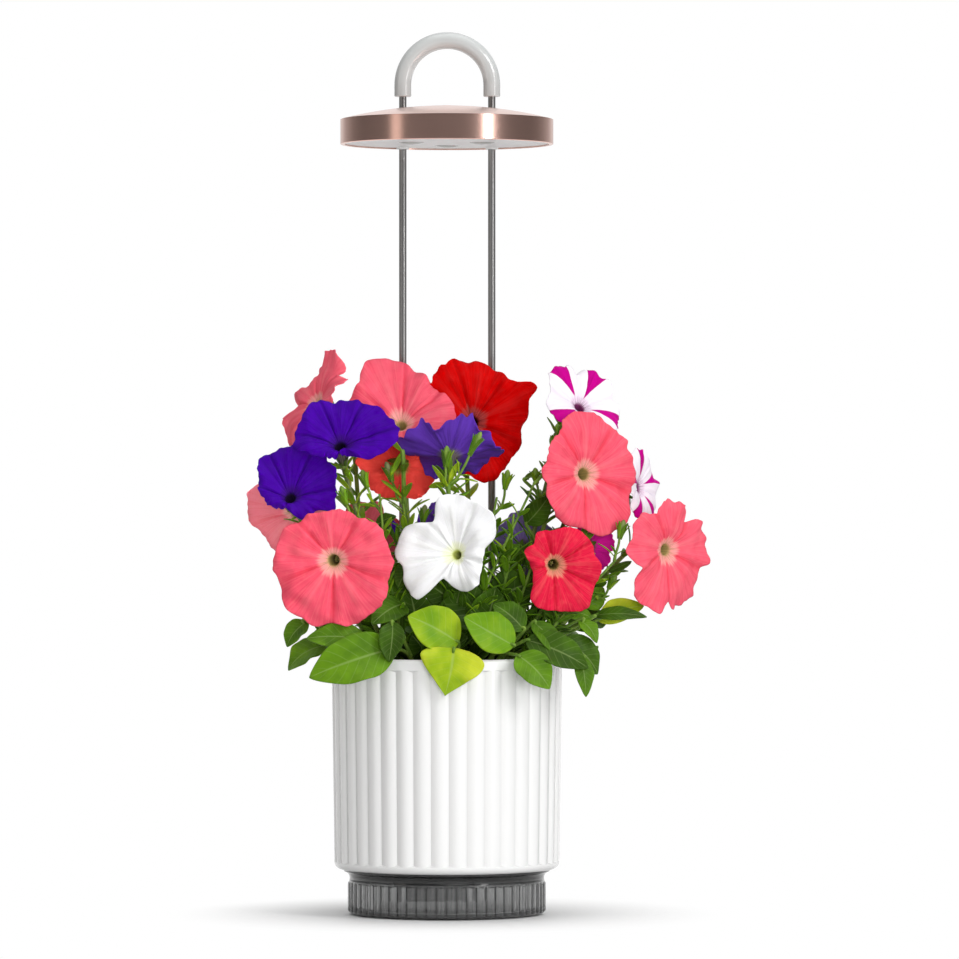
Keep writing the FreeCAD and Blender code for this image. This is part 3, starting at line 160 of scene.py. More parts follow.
# Each leafy shoot without a flower: its root, a bend and its tip, and the size of its leaves
shoots = [
    ((10, -26), (24, -32, 198), (52, -24, 258), 17), ((16, -22), (36, -28, 205), (40, -26, 240), 18),
    ((22, -28), (44, -32, 190), (56, -28, 226), 18), ((6, -16), (20, -12, 200), (30, -8, 250), 18),
    ((-18, -30), (-40, -36, 205), (-54, -34, 244), 15), ((-14, -24), (-34, -30, 200), (-40, -26, 252), 15),
    ((-8, -20), (-20, -24, 205), (-26, -20, 246), 16), ((-22, -12), (-50, -14, 200), (-66, -16, 240), 15),
    ((34, -24), (70, -30, 180), (100, -28, 212), 14), ((30, -14), (62, -18, 190), (88, -14, 216), 15),
    ((38, -30), (66, -40, 176), (88, -40, 200), 14), ((0, -26), (9, -24, 190), (6, -18, 222), 17),
    ((-30, 4), (-58, 10, 190), (-78, 14, 224), 17), ((34, 6), (62, 14, 190), (84, 20, 222), 17),
    ((-10, 26), (-30, 36, 190), (-40, 44, 226), 18), ((14, 28), (34, 38, 190), (44, 46, 222), 18),
    ((4, 30), (2, 42, 190), (0, 46, 214), 18), ((-26, 22), (-52, 36, 180), (-66, 44, 200), 18),
    ((26, 22), (54, 36, 180), (70, 42, 200), 18),
]


# Node trees


class Wire:
    """One output of a node; arithmetic with it adds math nodes."""

    def __init__(self, graph, socket):
        self.graph = graph
        self.socket = socket

    def __add__(self, other):
        return self.graph.math("ADD", self, other)

    def __sub__(self, other):
        return self.graph.math("SUBTRACT", self, other)

    def __mul__(self, other):
        return self.graph.math("MULTIPLY", self, other)


class Graph:
    """The node tree of a material or a world, built by short calls."""

    def __init__(self, owner, output="OutputMaterial"):
        owner.use_nodes = True
        self.owner = owner
        self.tree = owner.node_tree
        self.tree.nodes.clear()
        self.output = self.node(output)

    def node(self, kind, inputs=None, **settings):
        made = self.tree.nodes.new("ShaderNode" + kind)
        for key, value in settings.items():
            setattr(made, key, value)
        for key, value in (inputs or {}).items():
            self.put(made.inputs[key], value)
        return made

    def read(self, output, kind, inputs=None, **settings):
        """One output of a new node."""
        return Wire(self, self.node(kind, inputs, **settings).outputs[output])

    def put(self, socket, value):
        """Give an input its number, colour or vector, or link a wire or a node's first output to it."""
        if isinstance(value, Wire):
            self.tree.links.new(value.socket, socket)
        elif isinstance(value, bpy.types.Node):
            self.tree.links.new(value.outputs[0], socket)
        elif isinstance(value, tuple) and len(value) == 3 and len(socket.default_value) == 4:
            socket.default_value = (*value, 1.0)
        else:
            socket.default_value = value

    def math(self, operation, first, second=None, clamp=False):
        inputs = {0: first} if second is None else {0: first, 1: second}
        return self.read(0, "Math", inputs, operation=operation, use_clamp=clamp)

    def vector(self, operation, first, second=None):
        made = self.node("VectorMath", {0: first}, operation=operation)
        if second is not None:
            self.put(made.inputs["Scale" if operation == "SCALE" else 1], second)
        return Wire(self, made.outputs["Value" if operation == "LENGTH" else "Vector"])

    def mix(self, factor, first, second):
        return self.read(2, "Mix", {0: factor, 6: first, 7: second}, data_type="RGBA")

    def fade(self, value, low, high, first, second):
        """From the first colour at low to the second at high."""
        return self.mix(self.remap(value, low, high), first, second)

    def ramp(self, factor, stops, interpolation="LINEAR"):
        made = self.node("ValToRGB", {0: factor})
        made.color_ramp.interpolation = interpolation
        elements = made.color_ramp.elements
        while len(elements) < len(stops):
            elements.new(1.0)
        for element, (place, colour) in zip(elements, stops):
            element.position = place
            element.color = (*colour, 1.0)
        return Wire(self, made.outputs[0])

    def remap(self, value, low, high, to_low=0.0, to_high=1.0, smooth=False):
        inputs = {0: value, 1: low, 2: high, 3: to_low, 4: to_high}
        return self.read(0, "MapRange", inputs, interpolation_type="SMOOTHSTEP" if smooth else "LINEAR")

    def place(self, stretch=(1, 1, 1)):
        """Object coordinates, stretched."""
        return self.read(0, "Mapping", {"Vector": self.read("Object", "TexCoord"), "Scale": stretch})

    def split(self, vector):
        """The three parts of a vector."""
        return [Wire(self, part) for part in self.node("SeparateXYZ", {0: vector}).outputs]

    def noise(self, scale, detail=2.0, vector=None, rough=0.5):
        vector = self.place() if vector is None else vector
        inputs = {"Scale": scale, "Detail": detail, "Roughness": rough, "Vector": vector}
        return self.read("Fac", "TexNoise", inputs)

    def cells(self, scale, output):
        return self.read(output, "TexVoronoi", {"Vector": self.place(), "Scale": scale})

    def bump(self, height, strength, distance, normal=None):
        inputs = {"Height": height, "Strength": strength, "Distance": distance}
        if normal is not None:
            inputs["Normal"] = normal
        return self.read(0, "Bump", inputs)

    def rays(self, *kinds):
        """1 for light paths of these kinds, 0 for others."""
        paths = self.node("LightPath")
        wires = [Wire(self, paths.outputs["Is " + kind + " Ray"]) for kind in kinds]
        found = wires[0]
        for wire in wires[1:]:
            found = self.math("MAXIMUM", found, wire)
        return found

    def skin(self, colour, roughness, normal=None, extra=()):
        """The finished material, with one shader of this colour, roughness, normal and extra inputs."""
        inputs = {"Base Color": colour, "Roughness": roughness, **dict(extra)}
        if normal is not None:
            inputs["Normal"] = normal
        return self.surface(self.node("BsdfPrincipled", inputs))

    def surface(self, shader):
        self.put(self.output.inputs["Surface"], shader)
        return self.owner


def new_material(name):
    """The empty node tree of a new material."""
    return Graph(bpy.data.materials.new(name))


def grey(value):
    return (value, value, value)


def tint(colour, factor):
    """A colour made lighter or darker."""
    return tuple(min(1.0, part * factor) for part in colour)


# World, lights and floor


def make_world():
    """A pale studio with a dark band at the horizon, but not behind, for metal; the camera sees white."""
    world = bpy.data.worlds.new("studio")
    bpy.context.scene.world = world
    graph = Graph(world, "OutputWorld")
    _, depth, height = graph.split(graph.read("Generated", "TexCoord"))

    def levels(source, stops):
        greys = [(place, grey(level)) for place, level in stops]
        return graph.ramp(graph.remap(source, -1.0, 1.0), greys)

    front = levels(height, [(0.0, 0.5), (0.44, 0.3), (0.49, 0.13), (0.60, 0.14), (0.74, 0.45), (1.0, 0.7)])
    rear = levels(height, [(0.0, 0.8), (0.52, 0.75), (0.60, 1.0)])
    share = levels(depth, [(0.0, 0.0), (0.62, 0.0), (0.76, 0.12), (0.90, 0.5), (0.96, 1.0)])
    studio = graph.node("Background", {0: graph.mix(share, front, rear), 1: 1.0})
    white = graph.node("Background", {0: grey(1.0)})
    graph.surface(graph.node("MixShader", {0: graph.rays("Camera", "Transmission"), 1: studio, 2: white}))


def area_light(name, place, aim, size, power, colour=(1, 1, 1), glossy=True, spread=180):
    """A lamp of this width and height, in metres; one that isn't glossy shows in no reflection."""
    data = bpy.data.lights.new(name, "AREA")
    data.shape = "RECTANGLE"
    data.size, data.size_y = size
    data.energy = power
    data.color = colour
    data.spread = math.radians(spread)
    lamp = add_object(name, data)
    lamp.location = place
    lamp.rotation_euler = (Vector(aim) - Vector(place)).to_track_quat("-Z", "Y").to_euler()
    lamp.visible_glossy = glossy


def make_floor():
    """Pale floor that turns into plain white away from the object and keeps its shadow."""
    reach = 6.0
    corners = [(-reach, -reach, 0), (reach, -reach, 0), (reach, reach, 0), (-reach, reach, 0)]
    mesh = bpy.data.meshes.new("floor")
    mesh.from_pydata(corners, [], [(0, 1, 2, 3)])
    floor = add_object("floor", mesh)
    graph = new_material("floor")
    shade = graph.mix(graph.rays("Diffuse"), grey(0.92), grey(0.52))
    body = graph.node("BsdfPrincipled", {"Base Color": shade, "Roughness": 0.6})
    white = graph.node("Emission", {"Color": grey(1.0), "Strength": 1.0})
    away = graph.remap(graph.vector("LENGTH", graph.place()), 0.07, 0.17, smooth=True)
    share = away * graph.rays("Camera", "Transmission", "Glossy")
    mesh.materials.append(graph.surface(graph.node("MixShader", {0: share, 1: body, 2: white})))


make_world()
area_light("strip_right", (1.5, -1.5, 0.55), (0, 0, 0.28), (0.30, 1.5), 8.8)
area_light("strip_left", (-1.73, -1.2, 0.50), (0, 0, 0.28), (0.42, 1.4), 1.7, (1, 0.93, 0.86))
area_light("key", (1.7, -1.5, 1.6), (0, 0, 0.25), (0.9, 0.9), 17.0)
area_light("front", (0.6, -2.7, 0.45), (0, 0, 0.28), (1.2, 0.6), 20.0, glossy=False)
area_light("low", (0.15, -1.8, 0.04), (0, 0, 0.42), (0.9, 0.25), 5.0, glossy=False)
area_light("left_flowers", (-0.45, -2.8, 0.36), (-0.09, 0, 0.26), (0.06, 0.06), 0.015,
           glossy=False, spread=5)
area_light("overhead", (0.1, -0.2, 2.2), (0, 0, 0.2), (1.6, 1.6), 8.0)
make_floor()


# Materials of the kept CAD nodes


def moulded(name, colour, roughness, grain=0.15, coat=0.0):
    """Moulded plastic: fine grain, slow changes of gloss and tone."""
    graph = new_material(name)
    slow = graph.noise(22.0, 3.0)
    rough = graph.remap(slow, 0.3, 0.7, roughness * 0.85, min(1.0, roughness * 1.2))
    shade = graph.fade(slow, 0.25, 0.75, tint(colour, 0.97), tint(colour, 1.02))
    normal = graph.bump(graph.noise(900.0, 2.0), grain, 0.00003)
    return graph.skin(shade, rough, normal, {"Coat Weight": coat, "Coat Roughness": 0.05})


def metal(name, colour, roughness, stretch=(1, 1, 1), scale=300.0, grain=0.1, spread=0.25):
    """Metal with brushing along the unstretched direction and a little unevenness."""
    graph = new_material(name)
    brushed = graph.noise(scale, 4.0, graph.place(stretch), 0.6)
    rough = graph.remap(brushed, 0.3, 0.7, roughness * (1 - spread), roughness * (1 + spread))
    shade = graph.fade(graph.noise(30.0, 2.0), 0.3, 0.7, tint(colour, 0.96), tint(colour, 1.03))
    return graph.skin(shade, rough, graph.bump(brushed, grain, 0.00002), {"Metallic": 1.0})


def ribs(graph, count, first_valley, low, high):
    """How far a point of a ribbed wall is out of its valley, 0 to 1, and 1 above and below the ribs.

    The ribs stand from low to high, in millimetres; the first valley is an angle in degrees.
    """
    fade = 1.5
    x, y, z = graph.split(graph.place())
    turn = (graph.math("ARCTAN2", y, x) - math.radians(first_valley)) * (count / 2)
    crest = graph.math("ABSOLUTE", graph.math("SINE", turn))
    below = graph.remap(z, (low + fade) * MM, low * MM)
    above = graph.remap(z, (high - fade) * MM, high * MM)
    return graph.math("MAXIMUM", crest, graph.math("MAXIMUM", below, above))


def smoky_plastic():
    """Smoky translucent plastic with painted shade in the ribs' valleys and along their crests, and darker
    above the ribs.
    """
    graph = new_material("smoky_tank")
    rib = ribs(graph, 60, 90, 1.0, 20.4)
    height = graph.split(graph.place())[2]
    # Painted shade: dark in the ribs' valleys, lighter towards their crests, with a thin dark line on each
    # crest.
    painted_valley_shade = (0.30, 0.303, 0.303)
    shade = graph.fade(rib, 0.2, 0.9, painted_valley_shade, (0.62, 0.624, 0.622))
    shade = graph.mix(graph.remap(rib, 0.93, 1.0, 0.0, 0.4), shade, painted_valley_shade)
    shade = graph.fade(height, 20.0 * MM, 21.0 * MM, shade, (0.13, 0.132, 0.132))
    rough = graph.remap(graph.noise(40.0, 2.0), 0.3, 0.7, 0.07, 0.12)
    fine = graph.bump(graph.noise(500.0), 0.05, 0.00005)
    smoke = graph.node("VolumeAbsorption", {"Color": grey(0.0), "Density": 40.0})
    graph.put(graph.output.inputs["Volume"], smoke)
    normal = graph.bump(rib, 0.8, 0.0006, fine)
    return graph.skin(shade, rough, normal, {"Transmission Weight": 0.9, "IOR": 1.46})


def ribbed_gloss():
    """Glossy white moulded plastic; its ribs are set off by a bump and by painted shade in their valleys."""
    graph = new_material("gloss_white_plastic")
    rib = ribs(graph, 40, 271.3, 31.5, 148.0)
    # Painted shade: the colour falls from 0.90 on the ribs to 0.84 in their valleys.
    shade = graph.fade(rib, 0.0, 0.35, (0.84, 0.84, 0.835), (0.90, 0.90, 0.895))
    rough = graph.remap(graph.noise(22.0, 3.0), 0.3, 0.7, 0.15, 0.20)
    fine = graph.bump(graph.noise(400.0), 0.06, 0.00003)
    normal = graph.bump(rib, 0.85, 0.0010, fine)
    return graph.skin(shade, rough, normal, {"Coat Weight": 0.3, "Coat Roughness": 0.05})


def clear_plastic(name, colour, roughness, transmission):
    """Clear plastic whose gloss changes a little."""
    graph = new_material(name)
    slow = graph.noise(60.0, 2.0)
    rough = graph.remap(slow, 0.3, 0.7, roughness * 0.8, roughness * 1.2)
    normal = graph.bump(slow, 0.1, 0.0002)
    return graph.skin(colour, rough, normal, {"Transmission Weight": transmission, "IOR": 1.49})


def lens_glass():
    """Frosted lens with fine rings round each of the three lens centres."""
    graph = new_material("ringed_lens")
    place = graph.place()
    pitch, lens_radius = 0.0011, 0.0085
    centres = ((-21.13, -7.2), (21.13, -7.2), (0.0, 29.4))
    rings = None
    for x, y in centres:
        apart = graph.vector("SUBTRACT", place, (x * MM, y * MM, 0))
        away = graph.vector("LENGTH", graph.vector("MULTIPLY", apart, (1, 1, 0)))
        wave = graph.math("SINE", away * (2 * math.pi / pitch))
        wave = wave * graph.math("LESS_THAN", away, lens_radius)
        rings = wave if rings is None else rings + wave
    shade = graph.fade(rings, -1.0, 1.0, (0.52, 0.53, 0.50), (0.62, 0.62, 0.57))
    return graph.skin(shade, 0.22, graph.bump(rings, 0.5, 0.0003), {"Transmission Weight": 0.25})


def circuit_board(name, colour, trace):
    """Solder mask with a grid of faint tracks under it."""
    graph = new_material(name)
    colours = {"Color1": colour, "Color2": tint(colour, 0.9), "Mortar": trace}
    tracks = {"Vector": graph.place((420, 420, 420)), "Scale": 1.0, "Mortar Size": 0.06, **colours}
    brick = graph.node("TexBrick", tracks)
    normal = graph.bump(Wire(graph, brick.outputs["Fac"]), 0.2, 0.0001)
    return graph.skin(Wire(graph, brick.outputs["Color"]), 0.35, normal)


def banded(name, first, second, axis, pitch, roughness, metallic):
    """Fine parallel bands: windings, laminations, a ribbed cable."""
    graph = new_material(name)
    inputs = {"Vector": graph.place(), "Scale": 0.05 / pitch, "Distortion": 0.4}
    wave = graph.read("Fac", "TexWave", inputs, bands_direction=axis)
    normal = graph.bump(wave, 0.6, pitch * 0.3)
    return graph.skin(graph.mix(wave, first, second), roughness, normal, {"Metallic": metallic})


def foam():
    """Closed-cell foam."""
    graph = new_material("closed_foam")
    cells = graph.cells(1400.0, "Distance")
    shade = graph.fade(cells, 0.0, 0.8, (0.16, 0.17, 0.18), (0.30, 0.31, 0.32))
    return graph.skin(shade, 0.85, graph.bump(cells, 0.4, 0.0003))


def components():
    """Small parts on a board: each a different plastic or ceramic tone."""
    graph = new_material("board_components")
    pick = graph.read(0, "SeparateColor", {0: graph.cells(110.0, "Color")})
    tones = [(0.0, grey(0.015)), (0.45, grey(0.03)), (0.5, (0.35, 0.28, 0.16)),
             (0.75, (0.03, 0.04, 0.07)), (1.0, grey(0.3))]
    normal = graph.bump(graph.noise(1500.0), 0.2, 0.00005)
    return graph.skin(graph.ramp(pick, tones, "CONSTANT"), 0.4, normal)


def fired_clay():
    """Fired clay granules: each cell its own brown, with fine pits."""
    graph = new_material("fired_clay")
    pick = graph.read(0, "SeparateColor", {0: graph.cells(95.0, "Color")})
    pits = graph.noise(900.0, 4.0, rough=0.65)
    shade = graph.mix(pick, (0.20, 0.085, 0.045), (0.36, 0.17, 0.09))
    shade = graph.fade(pits, 0.45, 0.7, shade, (0.10, 0.05, 0.035))
    return graph.skin(shade, 0.9, graph.bump(pits, 0.5, 0.0003))


def emitter():
    """Phosphor of the LEDs, unlit."""
    graph = new_material("led_phosphor")
    speck = graph.noise(2500.0, 2.0)
    return graph.skin(graph.fade(speck, 0.35, 0.65, (0.75, 0.60, 0.12), (0.85, 0.74, 0.25)), 0.5)


slot_materials = {
    "smoky_clear": smoky_plastic(),
    "white_gloss": ribbed_gloss(),
    "white_satin": moulded("satin_white_coating", (0.57, 0.59, 0.585), 0.20, 0.25, 0.8),
    "copper": metal("brushed_copper", (0.79, 0.505, 0.43), 0.21, (1, 1, 20), 60.0, 0.0, 0.04),
    "steel": metal("polished_steel", (0.33, 0.325, 0.32), 0.31, (1, 1, 0.002), 500.0, 0.0, 0.04),
    "lamp_plate": moulded("pale_lamp_plate", (0.94, 0.94, 0.93), 0.45, 0.3),
    "lens": lens_glass(),
    "rubber_pad": moulded("rubber_pad", (0.03, 0.03, 0.032), 0.8, 0.6),
    "soft_seal": moulded("soft_seal", (0.10, 0.10, 0.105), 0.7, 0.5),
    "black_plastic": moulded("black_plastic", (0.022, 0.022, 0.024), 0.45, 0.5),
    "grey_plastic": moulded("grey_plastic", (0.32, 0.325, 0.33), 0.42, 0.4),
    "white_plastic": moulded("white_plastic", (0.80, 0.80, 0.79), 0.35, 0.3),
    "clear_tube": clear_plastic("clear_tube", (0.85, 0.88, 0.88), 0.08, 0.85),
    "laminated_steel": banded("laminated_steel", grey(0.30), grey(0.42), "Y", 0.0005, 0.4, 1.0),
    "copper_wire": banded("copper_winding", (0.55, 0.20, 0.08), (0.80, 0.36, 0.18), "Z", 0.0006, 0.3, 1.0),
    "magnet": moulded("ferrite_magnet", (0.035, 0.035, 0.04), 0.5, 0.6),
    "lead_cover": banded("ribbed_lead", (0.02, 0.02, 0.022), (0.04, 0.04, 0.044), "Z", 0.002, 0.5, 0.0),
    "foam_float": foam(),
    "screw_steel": metal("screw_steel", (0.55, 0.55, 0.54), 0.28, scale=600.0),
    "brass": metal("brass", (0.75, 0.56, 0.25), 0.28, scale=500.0),
    "board_green": circuit_board("green_board", (0.01, 0.10, 0.035), (0.02, 0.17, 0.06)),
    "board_white": circuit_board("white_board", (0.72, 0.72, 0.70), (0.60, 0.60, 0.58)),
    "components": components(),
    "emitter": emitter(),
    "bare_aluminium": metal("bare_aluminium", (0.62, 0.62, 0.63), 0.35, (1, 12, 12), 120.0),
    "spring_bronze": metal("spring_bronze", (0.62, 0.40, 0.20), 0.3, (1, 1, 12), 200.0),
    "clay_pebbles": fired_clay(),
}
for node in nodes.values():
    for slot in node.material_slots:
        if slot.material and slot.material.name in slot_materials:
            slot.material = slot_materials[slot.material.name]


# Meshes from numpy grids


class Shell:
    """Collects closed pieces with four-sided faces, to become one object."""

    def __init__(self):
        self.points = []
        self.marks = []
        self.faces = []
        self.slots = []
        self.count = 0

    def add(self, points, faces, slots, marks):
        self.points.append(points)
        self.marks.append(marks)
        self.faces.append(faces + self.count)
        self.slots.append(np.broadcast_to(slots, len(faces)))
        self.count += len(points)

    def sheet(self, front, thickness, marks, front_slot=0, back_slot=0, wrap=False):
        """A thin closed solid whose front is the grid front[row, column]."""
        back = front - grid_normals(front, wrap) * thickness
        shift = front[..., 0].size
        here = np.arange(shift).reshape(front.shape[:2])
        there = here + shift
        a, b = (here, np.roll(here, -1, 1)) if wrap else (here[:, :-1], here[:, 1:])
        front_faces = np.stack([a[:-1], b[:-1], b[1:], a[1:]], -1).reshape(-1, 4)
        rims = [[a[-1], b[-1], b[-1] + shift, a[-1] + shift], [b[0], a[0], a[0] + shift, b[0] + shift]]
        if not wrap:
            rims.append([there[1:, 0], there[:-1, 0], here[:-1, 0], here[1:, 0]])
            rims.append([there[:-1, -1], there[1:, -1], here[1:, -1], here[:-1, -1]])
        rims = np.concatenate([np.stack(rim, -1) for rim in rims])
        faces = np.concatenate([front_faces, front_faces[:, ::-1] + shift, rims])
        slots = np.full(len(faces), back_slot)
        slots[:len(front_faces)] = front_slot
        points = np.concatenate([front.reshape(-1, 3), back.reshape(-1, 3)])
        self.add(points, faces, slots, np.concatenate([marks.reshape(-1, 3)] * 2))

    def tube(self, path, radii, mark, slot=0, sides=10):
        """A closed round bar along a path, its ends drawn in."""
        draw_in, end_share = 0.35, 0.3
        path = np.asarray(path, float)
        radii = np.broadcast_to(np.asarray(radii, float), len(path))
        tangent = np.gradient(path, axis=0)
        tangent /= np.linalg.norm(tangent, axis=1)[:, None]
        before = path[:1] - tangent[:1] * radii[0] * draw_in
        after = path[-1:] + tangent[-1:] * radii[-1] * draw_in
        path = np.concatenate([before, path, after])
        tangent = np.concatenate([tangent[:1], tangent, tangent[-1:]])
        radii = np.concatenate([radii[:1] * end_share, radii, radii[-1:] * end_share])
        side = np.cross(tangent[0], (0.31, 0.17, 0.93))
        angle = np.linspace(0, 2 * math.pi, sides, endpoint=False)[:, None]
        rings = []
        for here, along, radius in zip(path, tangent, radii):
            side = side - along * side.dot(along)
            side /= np.linalg.norm(side)
            rings.append(here + radius * (np.cos(angle) * side + np.sin(angle) * np.cross(along, side)))
        here = np.arange(len(path) * sides).reshape(len(path), sides)
        right = np.roll(here, -1, 1)
        faces = np.stack([here[:-1], right[:-1], right[1:], here[1:]], -1).reshape(-1, 4)
        caps = []
        for ring, order in ((here[0], -1), (here[-1], 1)):
            for step in range(sides // 2 - 1):
                quad = [ring[step], ring[step + 1], ring[sides - 2 - step], ring[sides - 1 - step]]
                caps.append(quad[::order])
        marks = np.zeros((len(path), sides, 3))
        marks[..., 0] = np.linspace(0, 1, len(path))[:, None]
        marks[..., 2] = mark
        faces = np.concatenate([faces, np.array(caps)])
        self.add(np.concatenate(rings), faces, slot, marks.reshape(-1, 3))

    def stalk(self, points, thick, thin, steps=8):
        """A round green stalk through the points, thinner towards its end."""
        path = smooth_path(points, steps)
        self.tube(path, np.linspace(thick, thin, len(path)), 0.0, 1, 8)
        return path

    def build(self, name, materials, mark_name, body, replaced):
        """The collected pieces as one object on a body, in place of the replaced nodes."""
        mesh = bpy.data.meshes.new(name)
        points = np.concatenate(self.points) * MM
        faces = np.concatenate(self.faces)
        mesh.from_pydata(points.tolist(), [], faces.tolist())
        attribute = mesh.attributes.new(mark_name, "FLOAT_VECTOR", "POINT")
        attribute.data.foreach_set("vector", np.concatenate(self.marks).astype(np.float32).ravel())
        for material in materials:
            mesh.materials.append(material)
        mesh.polygons.foreach_set("material_index", np.concatenate(self.slots).astype(np.int32))
        mesh.polygons.foreach_set("use_smooth", np.ones(len(faces), bool))
        mesh.update()
        piece = add_object(name, mesh)
        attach(piece, body)
        if replaced:
            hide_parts(*replaced)


def grid_normals(grid, wrap):
    if wrap:
        across = np.roll(grid, -1, 1) - np.roll(grid, 1, 1)
    else:
        across = np.gradient(grid, axis=1)
    normal = np.cross(across, np.gradient(grid, axis=0))
    return normal / np.maximum(np.linalg.norm(normal, axis=-1, keepdims=True), 1e-9)


def smooth_path(points, steps=8):
    """Catmull-Rom curve through the points."""
    points = np.asarray(points, float)
    ends = np.concatenate([2 * points[:1] - points[1:2], points, 2 * points[-1:] - points[-2:-1]])
    out = []
    for index in range(len(points) - 1):
        a, b, c, d = ends[index:index + 4]
        for t in np.linspace(0, 1, steps, endpoint=False):
            bent = (2 * a - 5 * b + 4 * c - d) * t * t
            out.append(0.5 * (2 * b + (c - a) * t + bent + (3 * b - a - 3 * c + d) * t ** 3))
    out.append(points[-1])
    return np.array(out)


def unit(vector):
    vector = np.asarray(vector, float)
    return vector / np.linalg.norm(vector)


def jitter(chance, reach):
    """Two numbers from -reach to reach."""
    return chance.uniform(-reach, reach), chance.uniform(-reach, reach)


def spoke(turn, first, second):
    """Direction at an angle between two axes square to each other."""
    return math.cos(turn) * first + math.sin(turn) * second


def flower_frame(flower):
    """Face centre, axis, right and up of a flower as seen from in front of it, and its depth."""
    turn = math.radians(flower.azimuth)
    lift = math.radians(flower.elevation)
    axis = np.array([math.sin(turn) * math.cos(lift), -math.cos(turn) * math.cos(lift), math.sin(lift)])
    up = unit(np.array([0, 0, 1.0]) - axis * axis[2])
    centre = np.array([flower.x, flower.y, POT_TOP + flower.rise])
    return centre, axis, np.cross(up, axis), up, 0.62 * flower.radius + 6


# Petals. Their mark holds the place from the throat outward, as a point of the unit disc, and the tint.
LOBES = 5
TUBE_START, THROAT = 0.02, 0.22
MAGENTA, DEEP_MAGENTA, BRIGHT_MAGENTA = (0.56, 0.0, 0.26), (0.38, 0.0, 0.17), (0.90, 0.02, 0.45)
STALK_GREEN = (0.12, 0.16, 0.04)
# How far the throat's dark lines and its painted shade go towards black
THROAT_LINES_AND_SHADE = {"coral": 0.45, "violet": 0.6, "red": 0.6, "white": 0.2, "striped": 0.6}
BACK_STRENGTH = {"coral": 0.45, "violet": 0.3, "red": 0.9, "white": 0.45, "striped": 0.1}


def petal_material(kind, side, looks):
    """Front or back of a petal, with its veins, painted shade along its creases, its throat with painted
    shade deep inside, and the tube's outside.
    """
    base, shaded, ring, throat, other, other_shaded, other_ring, other_throat, back, tube = looks
    graph = new_material("petal_" + kind + "_" + side)
    mark = graph.read("Vector", "Attribute", attribute_name="petal")
    x, y, tone = graph.split(mark)
    flat = graph.vector("MULTIPLY", mark, (1, 1, 0))
    out = graph.vector("LENGTH", flat)
    heading = graph.vector("NORMALIZE", flat)
    lobes = graph.math("COSINE", graph.math("ARCTAN2", y, x) * float(LOBES))
    lift = graph.node("CombineXYZ", {2: out * 1.2})

    def rays_outward(scale, detail):
        """Noise drawn out into streaks from the throat to the edge."""
        spread = graph.vector("ADD", graph.vector("SCALE", heading, scale), lift)
        return graph.noise(1.0, detail, spread, 0.6)

    def layer(value, none, full, colour, most=1.0, smooth=False):
        """The colour so far, covered by another where the value nears full."""
        return graph.mix(graph.remap(value, none, full, 0.0, most, smooth), shown, colour)

    streaks = rays_outward(9.0, 3.0)
    fine = rays_outward(34.0, 2.0)
    uneven = streaks - 0.5
    whole = graph.mix(tone, base, other)
    shade = graph.mix(tone, shaded, other_shaded)
    rim = graph.mix(tone, ring, other_ring)
    pale = graph.mix(0.28, whole, rim)
    # Veins take the shade colour as pigment; along the creases between the lobes it is painted shade.
    veins = graph.remap(streaks, 0.48, 0.70)
    crease_painted_shade = graph.remap(lobes, -0.92, -1.0, smooth=True)
    depth = graph.math("MAXIMUM", veins * 0.55, crease_painted_shade * 0.85) * graph.remap(out, 0.25, 1.0, 1.0, 0.5)
    shown = graph.mix(depth, whole, shade)
    shown = layer(fine, 0.50, 0.72, shade, 0.35)
    shown = layer(fine, 0.46, 0.30, pale, 0.3)
    shown = layer(graph.noise(7.0, 3.0, mark), 0.48, 0.75, pale, 0.25)
    if kind == "striped":
        wedge = lobes + uneven * 0.25 - graph.remap(out, 0.28, 1.0, 1.02, 0.30)
        inside = graph.remap(wedge, -0.02, 0.05, smooth=True)
        inside = graph.math("MAXIMUM", inside, graph.remap(tone, 0.4, 0.6))
        shown = graph.mix(inside, shown, graph.mix(veins, MAGENTA, DEEP_MAGENTA))
        shown = layer(tone, 0.4, 0.6, BRIGHT_MAGENTA, 0.8)
    if side == "front":
        if kind != "striped":
            rib = graph.remap(lobes, 0.80, 1.0) * graph.remap(out, 0.98, 0.3, 0.0, 0.5)
            shown = graph.mix(rib, shown, pale)
        inner = graph.remap(out + uneven * 0.18, 0.365, 0.285, smooth=True)
        shown = graph.mix(inner * 0.65, shown, rim)
        hole = graph.mix(tone, throat, other_throat)
        # Near black: the throat's dark lines are pigment; the deepest part of the throat is painted shade.
        dark = graph.mix(THROAT_LINES_AND_SHADE[kind], hole, grey(0.01))
        shown = layer(out, 0.25, 0.20, hole, smooth=True)
        lines = graph.remap(fine, 0.48, 0.62, 0.0, 0.8) * graph.remap(out, 0.34, 0.24)
        shown = graph.mix(lines, shown, dark)
        shown = layer(out, 0.17, 0.08, dark, smooth=True)
    else:
        shown = graph.mix(graph.remap(tone, 0.0, 1.0, BACK_STRENGTH[kind], 0.0), shown, back)
        pipe = graph.fade(streaks, 0.4, 0.6, tube, tint(tube, 0.45))
        shown = layer(out, 0.36, 0.22, pipe, smooth=True)
        shown = layer(out, 0.12, 0.04, STALK_GREEN, smooth=True)
    normal = graph.bump(streaks + fine * 0.5, 0.5, 0.0006)
    return graph.skin(shown, 0.6, normal, {"Specular IOR Level": 0.05})
